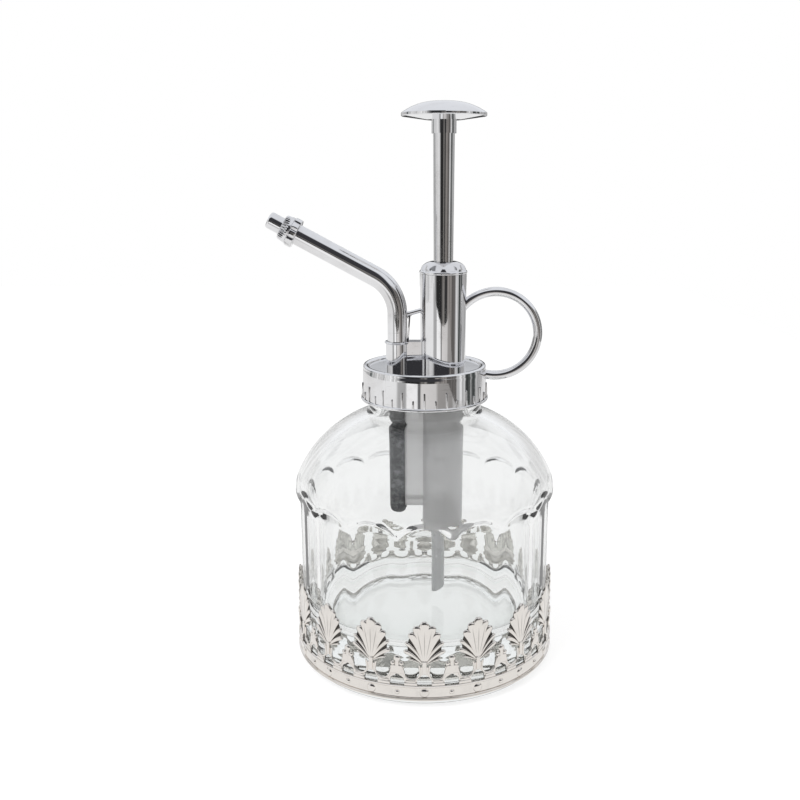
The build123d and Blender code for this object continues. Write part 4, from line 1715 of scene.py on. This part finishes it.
@dataclass
class ScrewCap:
    """Chrome collar over the neck: bead, ribs and rolled rim."""

    low: float = 80.205
    high: float = 90.605
    bore: float = 17.3
    skirt: float = 18.58
    waist: float = 18.44
    top_radius: float = 18.3
    bead: float = 19.1
    rim_width: float = 1.9
    rim_depth: float = 0.8
    ribs: int = 18
    rib_width: float = 0.7
    rib_bevel: float = 0.1
    rib_foot: float = 0.6
    rib_out: float = 0.3
    rib_sink: float = 0.35
    rib_taper: float = 0.8
    tall: float = 5.4
    short: float = 3.2
    segments: int = 192

    def _shell(self) -> bpy.types.Object:
        """Turned collar.

        Returns:
            The collar.
        """
        rim_inner = self.top_radius - self.rim_width
        outline = Outline(self.bore, self.low + 0.15)
        outline.bend((self.bore, self.low), (self.bore + 0.3, self.low), 3)
        outline.line(self.bead - 0.35, self.low)
        outline.bend((self.bead, self.low), (self.bead, self.low + 0.4), 4)
        outline.bend((self.bead, self.low + 0.85), (self.skirt, self.low + 0.95), 4)
        outline.line(self.waist, self.high - 1.3, 8)
        outline.bend((self.waist - 0.12, self.high - 1.05), (self.top_radius, self.high - 0.7), 4)
        outline.bend((self.top_radius + 0.02, self.high), (self.top_radius - 0.75, self.high), 7)
        outline.bend((rim_inner + 0.35, self.high), (rim_inner + 0.25, self.high - 0.35), 4)
        deck = self.high - self.rim_depth
        outline.line(rim_inner, deck + 0.05).line(rim_inner, deck)
        outline.line(self.bore, deck).line(self.bore, self.low + 0.15, 3)
        return soften(outline.turn("cap_shell", self.segments), 38)

    def _rib(self, name: str, height: float) -> bpy.types.Object:
        """Thin upright rib with a round top.

        Args:
            name: Name of the rib.
            height: Its height.

        Returns:
            The rib at the front.
        """
        rib = add_shape(
            name,
            bpy.ops.mesh.primitive_cylinder_add,
            vertices=16,
            radius=self.rib_width / 2 * MM,
            depth=MM,
            location=(0, 0, 0),
            rotation=(math.pi / 2, 0, 0),
        )
        stretch = height - self.rib_width / 2 - self.rib_foot

        def shape(point: Vector) -> Vector:
            """Pulls the lower half down and lays the rib on the skirt.

            Args:
                point: A point of the short cylinder.

            Returns:
                Its place on the cap.
            """
            level = point.z if point.z > 0 else point.z - stretch
            level += self.low + height - self.rib_width / 2
            slope = (self.skirt - self.waist) * (level - self.low) / (self.high - self.low)
            face = self.skirt - slope
            out = self.rib_out if point.y < 0 else -self.rib_sink
            shrink = self.rib_taper if point.y < 0 else 1.0
            return Vector((point.x * shrink, -(face + out), level))

        return round_edges(move_points(rib, shape), self.rib_bevel)

    def build(self, dresser: Dresser) -> None:
        """Builds the cap.

        Args:
            dresser: Gives finishes and bodies.
        """
        parts = [self._shell()]
        parts += copy_turned(self._rib("tall_rib", self.tall), self.ribs)
        parts += copy_turned(self._rib("short_rib", self.short), self.ribs, math.pi / self.ribs)
        cap = soften(join("ribbed_cap", parts), 38)
        dresser.hand_over(cap, "head", Slot.CHROME, "screw_cap")


@dataclass
class NozzleCollar:
    """Turning collar at the spout's end: a scalloped ring, a smooth cone and a knurled front edge."""

    rear: tuple[float, float, float] = (-36.792, 0.0, 128.507)
    rise: float = 28.3
    bore: float = 3.0
    ring: float = 4.3
    ring_length: float = 2.2
    front: float = 3.5
    length: float = 4.9
    tip_bore: float = 2.47
    tip_seat: float = 4.4
    step_inset: float = 0.35
    scallops: int = 10
    scallop_depth: float = 0.45
    knurls: int = 30
    knurl_depth: float = 0.3
    knurl_length: float = 1.6
    segments: int = 180

    def _knurl(self, point: Vector) -> Vector:
        """Cuts scallops into the ring and fine teeth into the front edge.

        Args:
            point: A point of the turned collar, its axis upright.

        Returns:
            Its place after cutting.
        """
        radius = math.hypot(point.x, point.y)
        if radius < self.front - 0.25:
            return point
        angle = math.atan2(point.y, point.x)
        if 0.15 < point.z < self.ring_length - 0.1:
            wave = max(0.0, math.cos(angle * self.scallops)) ** 2
            cut = self.scallop_depth * wave
        elif self.length - self.knurl_length < point.z < self.length - 0.1:
            wave = abs(math.sin(angle * self.knurls / 2))
            cut = self.knurl_depth * (1 - wave)
        else:
            return point
        share = (radius - cut) / radius
        return Vector((point.x * share, point.y * share, point.z))

    def build(self, dresser: Dresser) -> None:
        """Builds the collar.

        Args:
            dresser: Gives finishes and bodies.
        """
        step = self.ring - self.step_inset
        outline = Outline(self.bore, 0.0)
        outline.line(self.ring - 0.5, 0.0, 2)
        outline.bend((self.ring, 0.0), (self.ring, 0.45), 4)
        outline.line(self.ring, self.ring_length - 0.4, 4)
        outline.bend((self.ring, self.ring_length), (self.ring - 0.25, self.ring_length), 3)
        outline.line(step - 0.2, self.ring_length + 0.05, 1)
        outline.bend((step, self.ring_length + 0.1), (step, self.ring_length + 0.35), 2)
        outline.line(self.front + 0.15, self.length - 0.35, 5)
        outline.bend((self.front, self.length), (self.front - 0.45, self.length), 4)
        outline.line(self.tip_bore, self.length).line(self.tip_bore, self.tip_seat)
        outline.line(self.bore, self.tip_seat).line(self.bore, 0.0, 2)
        collar = outline.turn("nozzle_grip", self.segments)
        move_points(collar, self._knurl)
        turn = Matrix.Rotation(-math.radians(90 - self.rise), 4, "Y")
        collar.data.transform(Matrix.Translation(Vector(self.rear) * MM) @ turn)
        dresser.hand_over(soften(collar, 35), "nozzle", Slot.CHROME, "nozzle_collar")


@dataclass
class GlandNut:
    """Faceted dome nut that closes the barrel round the rod."""

    axis: float = 5.5
    seat: float = 117.405
    top: float = 120.805
    plug: tuple[float, float] = (5.6, 114.605)
    bore: float = 3.2
    flange: float = 7.0
    dome: float = 6.6
    crown: float = 3.9
    facets: int = 8
    facet_reach: float = 6.15
    facet_slope: float = 0.5

    def _facet(self, point: Vector) -> Vector:
        """Presses the facets into the dome.

        Args:
            point: A point of the turned nut.

        Returns:
            Its place after pressing.
        """
        side = point.x - self.axis
        radius = math.hypot(side, point.y)
        rise = point.z - self.seat - 1.0
        if rise < 0.05:
            return point
        sector = FULL_TURN / self.facets
        angle = math.atan2(point.y, side) + sector / 2
        off = angle - round(angle / sector) * sector
        share = min(1.0, (self.facet_reach - self.facet_slope * rise) / math.cos(off) ** 2 / radius)
        return Vector((self.axis + side * share, point.y * share, point.z))

    def build(self, dresser: Dresser) -> None:
        """Builds the nut.

        Args:
            dresser: Gives finishes and bodies.
        """
        outline = Outline(self.bore, self.plug[1])
        outline.line(*self.plug).line(self.plug[0], self.seat).line(self.flange - 0.3, self.seat)
        outline.bend((self.flange, self.seat), (self.flange, self.seat + 0.4), 4)
        outline.bend((self.flange, self.seat + 0.85), (self.dome, self.seat + 0.9), 4)
        outline.bend((self.dome - 0.1, self.top - 0.7), (self.crown, self.top), 14)
        outline.line(self.bore, self.top, 2).line(self.bore, self.plug[1], 4)
        nut = outline.turn("gland_dome", 128, self.axis)
        dresser.hand_over(soften(move_points(nut, self._facet), 28), "head", Slot.CHROME, "gland_nut")


@dataclass
class SpoutBrace:
    """Round bar from the riser to the barrel, with a gusset and a thin leg beside the riser."""

    left: float = -5.6
    right: float = -0.9
    level: float = 105.9
    slope: float = 0.28
    bar: float = 0.72
    leg: tuple[float, float] = (-4.85, -4.3)
    leg_bottom: float = 97.35
    leg_size: tuple[float, float] = (0.5, 1.0)
    gusset: float = -4.2
    gusset_lean: float = 0.7
    gusset_size: Place = (0.9, 1.0, 1.8)
    bevel: float = 0.1

    @staticmethod
    def _lean(piece: bpy.types.Object, across: float, slope: float, level: float) -> bpy.types.Object:
        """Moves a piece aside and leans it.

        Args:
            piece: The object, upright over the bottle's axis.
            across: Where it stands on X.
            slope: How far it leans for each millimetre of height.
            level: Height at which the lean starts.

        Returns:
            The same object.
        """
        return move_points(piece, lambda p: Vector((p.x + across + slope * (p.z - level), p.y, p.z)))

    def build(self, dresser: Dresser) -> None:
        """Builds the brace.

        Args:
            dresser: Gives finishes and bodies.
        """
        middle = (self.left + self.right) / 2
        bar = add_shape(
            "brace_bar",
            bpy.ops.mesh.primitive_cylinder_add,
            vertices=20,
            radius=self.bar * MM,
            depth=(self.right - self.left) * MM,
            location=(middle * MM, 0, self.level * MM),
            rotation=(0, math.pi / 2, 0),
        )
        move_points(bar, lambda p: Vector((p.x, p.y, p.z + self.slope * (p.x - middle))))
        rise = self.level - self.leg_bottom
        leg = block("brace_leg", (0, 0, self.leg_bottom + rise / 2), (*self.leg_size, rise), self.bevel)
        self._lean(leg, self.leg[0], (self.leg[1] - self.leg[0]) / rise, self.leg_bottom)
        centre = self.level - self.gusset_size[2] / 2
        gusset = block("brace_gusset", (0, 0, centre), self.gusset_size, self.bevel)
        self._lean(gusset, self.gusset, self.gusset_lean, centre)
        brace = soften(join("spout_stay", [bar, leg, gusset]), 35)
        dresser.hand_over(brace, "head", Slot.CHROME, "spout_brace")


@dataclass
class ReturnSpring:
    """Return spring, a copy of the imported one that rides with the head."""

    axis: float = 5.5
    seat: float = 46.3
    keep: float = 0.182

    def build(self, dresser: Dresser) -> None:
        """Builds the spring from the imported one.

        Args:
            dresser: Gives finishes and bodies.
        """
        coil = bpy.data.objects.new("coil_spring", dresser.frame["nodes"]["return_spring"].data.copy())
        bpy.context.scene.collection.objects.link(coil)
        soften(weld(coil), 35)
        dresser.hand_over(coil, "head", Slot.STEEL, "return_spring")
        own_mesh(coil)


CARRIED: dict[Slot, tuple[str, ...]] = {
    Slot.CHROME: (
        "pump_barrel",
        "finger_ring",
        "spout_tube",
        "plunger_rod",
        "rod_collar",
        "thumb_knob",
        "nozzle_tip",
    ),
    Slot.WHITE_PLASTIC: (
        "pump_cylinder",
        "foot_valve_housing",
        "valve_retainer",
        "piston",
        "rod_guide",
        "swirl_core",
    ),
    Slot.DARK_PLASTIC: ("outlet_channel",),
    Slot.TUBE_PLASTIC: ("dip_tube",),
    Slot.RUBBER: ("neck_gasket", "piston_seal", "rod_seal", "channel_seal", "nozzle_washer"),
    Slot.STEEL: ("inlet_ball", "outlet_ball"),
}


def dress_carried(dresser: Dresser) -> None:
    """Gives the CAD nodes that stay their finishes.

    Args:
        dresser: Gives finishes.
    """
    for slot, names in CARRIED.items():
        for name in names:
            dresser.dress(dresser.frame["nodes"][name], slot)


# Studio


@dataclass
class Studio:
    """Camera, floor, world and lamp. Lengths are metres, and spans are the ends of a fade."""

    camera_distance: float = 0.2757
    camera_height: float = 0.1463
    camera_pitch: float = 13.65
    lens: float = 42.4
    shift: float = -0.0306
    sheet: tuple[Point, Point] = ((-0.75, -0.6), (0.33, 0.95))
    sheet_level: float = 0.42
    # Painted reflections: the floor's albedo as glossy rays see it.
    sheet_level_in_gloss: float = 0.08
    sheet_near: float = 0.85
    sheet_span: tuple[float, float] = (0.16, 0.26)
    glow: tuple[float, float] = (0.74, 0.745)
    plain_light: float = 0.72
    glass_contrast: float = 0.36
    streaks: float = 70.0
    streak_levels: tuple[float, float] = (0.6, 1.15)
    ceiling: Colour = (0.85, 0.87, 0.91)
    ceiling_span: tuple[float, float] = (0.3, 0.42)
    ceiling_dip: float = 0.17
    watcher: Colour = (0.045, 0.045, 0.05)
    watcher_aside: float = 0.14
    watcher_sides: tuple[float, float] = (0.85, 0.6)
    watcher_levels: tuple[Point, Point] = ((0.02, 0.1), (0.78, 0.66))
    lamp_place: Place = (-0.45, -0.45, 0.75)
    lamp_size: float = 0.45
    lamp_power: float = 3.0
    lamp_aim: Place = (0, 0, 0.08)
    # Painted reflections: level and tint, by angle round the object, that glossy rays see on the floor.
    sheet_reflection_bands: tuple[tuple[float, float, Colour], ...] = (
        (-180, 0.85, WHITE),
        (-52, 0.85, WHITE),
        (-48, 0.4, WHITE),
        (-34, 0.36, WHITE),
        (-31, 1.0, WHITE),
        (-13, 0.95, WHITE),
        (-11, 0.05, WHITE),
        (-8, 0.08, WHITE),
        (-6, 0.7, IVORY),
        (20, 0.62, IVORY),
        (24, 0.3, CREAM),
        (50, 0.26, CREAM),
        (56, 0.8, WHITE),
        (180, 0.85, WHITE),
    )
    reflections: tuple[tuple[float, float, Colour], ...] = (
        (-180, 0.05, WHITE),
        (-172, 0.05, WHITE),
        (-169, 0.55, WHITE),
        (-140, 0.75, WHITE),
        (-121, 0.55, WHITE),
        (-118, 0.2, ICE),
        (-112, 0.2, ICE),
        (-109, 0.8, WHITE),
        (-60, 0.95, WHITE),
        (-43, 0.85, WHITE),
        (-39, 0.3, WHITE),
        (-33, 0.03, WHITE),
        (-9, 0.03, WHITE),
        (-5, 0.24, SAND),
        (3, 0.28, SAND),
        (6, 0.04, WHITE),
        (17, 0.05, WHITE),
        (21, 0.34, PEACH),
        (38, 0.3, PEACH),
        (44, 0.14, LINEN),
        (59, 0.18, LINEN),
        (64, 0.85, WHITE),
        (78, 0.8, WHITE),
        (81, 0.07, MINT),
        (91, 0.1, MINT),
        (94, 0.5, WHITE),
        (98, 0.08, MINT),
        (105, 0.1, MINT),
        (109, 0.65, WHITE),
        (140, 0.45, WHITE),
        (166, 0.6, WHITE),
        (172, 0.05, WHITE),
    )

    def camera(self) -> None:
        """Sets the camera where the photograph was taken from."""
        deselect_all()
        bpy.ops.object.camera_add(
            location=(0, -self.camera_distance, self.camera_height),
            rotation=(math.radians(90 - self.camera_pitch), 0, 0),
        )
        camera = bpy.context.object
        camera.name = "photo_camera"
        camera.data.lens = self.lens
        camera.data.sensor_width = 36.0
        camera.data.shift_x = self.shift
        camera.data.clip_start = 0.01
        camera.data.dof.use_dof = False
        bpy.context.scene.camera = camera
        bpy.context.scene.view_settings.view_transform = "Standard"

    def floor(self) -> None:
        """Lays a pale sheet, white where no shadow falls on it; gloss sees painted reflections, darker bands
        at its far ends.
        """
        deselect_all()
        low, high = self.sheet
        bpy.ops.mesh.primitive_plane_add(
            size=1.0, location=((low[0] + high[0]) / 2, (low[1] + high[1]) / 2, 0)
        )
        bpy.ops.transform.resize(value=(high[0] - low[0], high[1] - low[1], 1))
        sheet = settle(newest("studio_floor"))
        material = bpy.data.materials.new("pale_sheet")
        material.use_nodes = True
        sketch = NodeSketch(material.node_tree)
        where = sketch.add("ShaderNodeTexCoord").outputs["Object"]
        grain = sketch.noise(where, 40.0, 3.0, 0.6)
        # Painted reflections: gloss sees bands by angle, fading to an even level near the middle.
        far = sketch.span(sketch.vector("LENGTH", where)["Value"], *self.sheet_span)
        bands = self.around_ramp(sketch, sketch.turn(sketch.split(where)), self.sheet_reflection_bands)
        bands = sketch.mix(far, grey(self.sheet_near), bands)
        shader = sketch.add("ShaderNodeBsdfPrincipled")
        path = sketch.add("ShaderNodeLightPath").outputs
        plain, cool = self.glow
        glow = sketch.mix(path["Is Camera Ray"], grey(0.0), grey(plain))
        glow = sketch.mix(path["Is Transmission Ray"], glow, (plain, cool, cool))
        glow = sketch.mix(path["Is Glossy Ray"], glow, bands)
        # The floor's albedo is lower for glossy rays, part of the painted reflections.
        levels = (grey(self.sheet_level), grey(self.sheet_level_in_gloss))
        sketch.feed(
            shader,
            Base_Color=sketch.mix(path["Is Glossy Ray"], *levels),
            Roughness=sketch.span(grain, 0.0, 1.0, 0.8, 1.0),
            Emission_Color=glow,
            Emission_Strength=1.0,
        )
        shader.inputs["Specular IOR Level"].default_value = 0.0
        output = sketch.add("ShaderNodeOutputMaterial")
        sketch.plug(output.inputs["Surface"], shader.outputs["BSDF"])
        sheet.data.materials.append(material)

    @staticmethod
    def around_ramp(
        sketch: NodeSketch, angle: bpy.types.NodeSocket, bands: Sequence[tuple[float, float, Colour]]
    ) -> bpy.types.NodeSocket:
        """Colours by direction round the object.

        Args:
            sketch: Where the nodes go.
            angle: Angle from the camera's side in radians.
            bands: Angle in degrees, level and tint of each stop.

        Returns:
            The colour socket.
        """
        share = sketch.math("MULTIPLY_ADD", angle, 1 / FULL_TURN, 0.5)
        stops = [((turn + 180) / 360, tuple(level * part for part in tint)) for turn, level, tint in bands]
        return sketch.ramp(share, stops)

    def world(self) -> None:
        """Surrounds the object with plain light; gloss sees a white tent with dark gaps and the camera."""
        world = bpy.data.worlds.new("studio_world")
        bpy.context.scene.world = world
        world.use_nodes = True
        sketch = NodeSketch(world.node_tree)
        parts = sketch.split(sketch.add("ShaderNodeTexCoord").outputs["Generated"])
        up = parts["Z"]
        around = sketch.turn(parts)
        share = sketch.math("MULTIPLY", around, 1 / FULL_TURN)
        gaps = self.around_ramp(sketch, around, self.reflections)
        streak = sketch.add("ShaderNodeTexNoise", noise_dimensions="1D")
        sketch.feed(streak, W=share, Scale=self.streaks, Detail=3.0, Roughness=0.6)
        lines = sketch.span(streak.outputs["Fac"], 0.35, 0.65, *self.streak_levels)
        room = sketch.add("ShaderNodeVectorMath", operation="SCALE")
        sketch.plug(room.inputs[0], gaps)
        sketch.plug(room.inputs["Scale"], lines)
        behind = sketch.span(parts["Y"], 0.3, 0.8, 0.0, self.ceiling_dip)
        ceiling = sketch.span(sketch.math("ADD", up, behind), *self.ceiling_span)
        tent = sketch.mix(ceiling, room.outputs[0], self.ceiling)
        aside = sketch.math("ABSOLUTE", sketch.math("ADD", around, self.watcher_aside))
        watcher = sketch.span(aside, *self.watcher_sides)
        for low, high in self.watcher_levels:
            watcher = sketch.math("MULTIPLY", watcher, sketch.span(up, low, high))
        tent = sketch.mix(watcher, tent, self.watcher)
        path = sketch.add("ShaderNodeLightPath").outputs
        through = sketch.mix(self.glass_contrast, WHITE, tent)
        light = sketch.mix(path["Is Glossy Ray"], grey(self.plain_light), tent)
        light = sketch.mix(path["Is Transmission Ray"], light, through)
        light = sketch.mix(path["Is Camera Ray"], light, WHITE)
        backdrop = sketch.add("ShaderNodeBackground")
        sketch.feed(backdrop, Color=light, Strength=1.0)
        output = sketch.add("ShaderNodeOutputWorld")
        sketch.plug(output.inputs["Surface"], backdrop.outputs["Background"])

    def lamp(self) -> None:
        """Hangs one broad soft lamp up to the left of the camera."""
        deselect_all()
        bpy.ops.object.light_add(type="AREA", location=self.lamp_place)
        lamp = bpy.context.object
        lamp.name = "soft_lamp"
        lamp.data.shape = "SQUARE"
        lamp.data.size = self.lamp_size
        lamp.data.energy = self.lamp_power
        lamp.visible_glossy = False
        lamp.visible_transmission = False
        aim = Vector(self.lamp_aim) - lamp.location
        lamp.rotation_euler = aim.to_track_quat("-Z", "Y").to_euler()

    def build(self) -> None:
        """Sets up the whole studio."""
        self.camera()
        self.floor()
        self.world()
        self.lamp()


def make_finishes(effects: Effects) -> dict[Slot, bpy.types.Material]:
    """Builds every finish once.

    Args:
        effects: The shared groups.

    Returns:
        The material of each slot.
    """
    finishes = (
        PressedGlass("clear_pressed_glass", Slot.GLASS),
        Stamped("stamped_bright_strip", Slot.STAMPED),
        Plated("chrome_plate", Slot.CHROME),
        Moulded(
            "milky_pump_plastic",
            Slot.WHITE_PLASTIC,
            colour=(0.985, 0.98, 0.98),
            mottle=(0.965, 0.96, 0.955),
            gloss=0.3,
            dull=0.34,
            grain=0.002,
            clearness=0.5,
        ),
        Moulded(
            "dark_channel_plastic",
            Slot.DARK_PLASTIC,
            colour=(0.05, 0.053, 0.055),
            mottle=(0.2, 0.205, 0.21),
            mottle_scale=520.0,
            gloss=0.3,
            dull=0.55,
            grain=0.05,
        ),
        Moulded(
            "suction_tube_plastic",
            Slot.TUBE_PLASTIC,
            colour=(0.72, 0.73, 0.735),
            mottle=(0.8, 0.805, 0.81),
            gloss=0.2,
            dull=0.35,
            clearness=0.15,
        ),
        Moulded(
            "seal_rubber",
            Slot.RUBBER,
            colour=(0.03, 0.03, 0.03),
            mottle=(0.06, 0.06, 0.06),
            gloss=0.5,
            dull=0.7,
            grain=0.02,
        ),
        Plated(
            "drawn_steel",
            Slot.STEEL,
            colour=(0.6, 0.6, 0.6),
            dull=(0.42, 0.42, 0.41),
            gloss=0.18,
            haze=0.35,
        ),
    )
    return {finish.slot: finish.make(effects) for finish in finishes}


def main() -> None:
    """Builds the studio and every piece in order."""
    logging.basicConfig(level=logging.INFO, format="%(name)s: %(message)s")
    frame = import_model()
    Studio().build()
    dresser = Dresser(frame, make_finishes(Effects.build()))
    dress_carried(dresser)
    pieces = (GlassBottle, BaseBand, ScrewCap, GlandNut, SpoutBrace, NozzleCollar, ReturnSpring)
    for piece in pieces:
        piece().build(dresser)


if __name__ == "__main__":
    main()
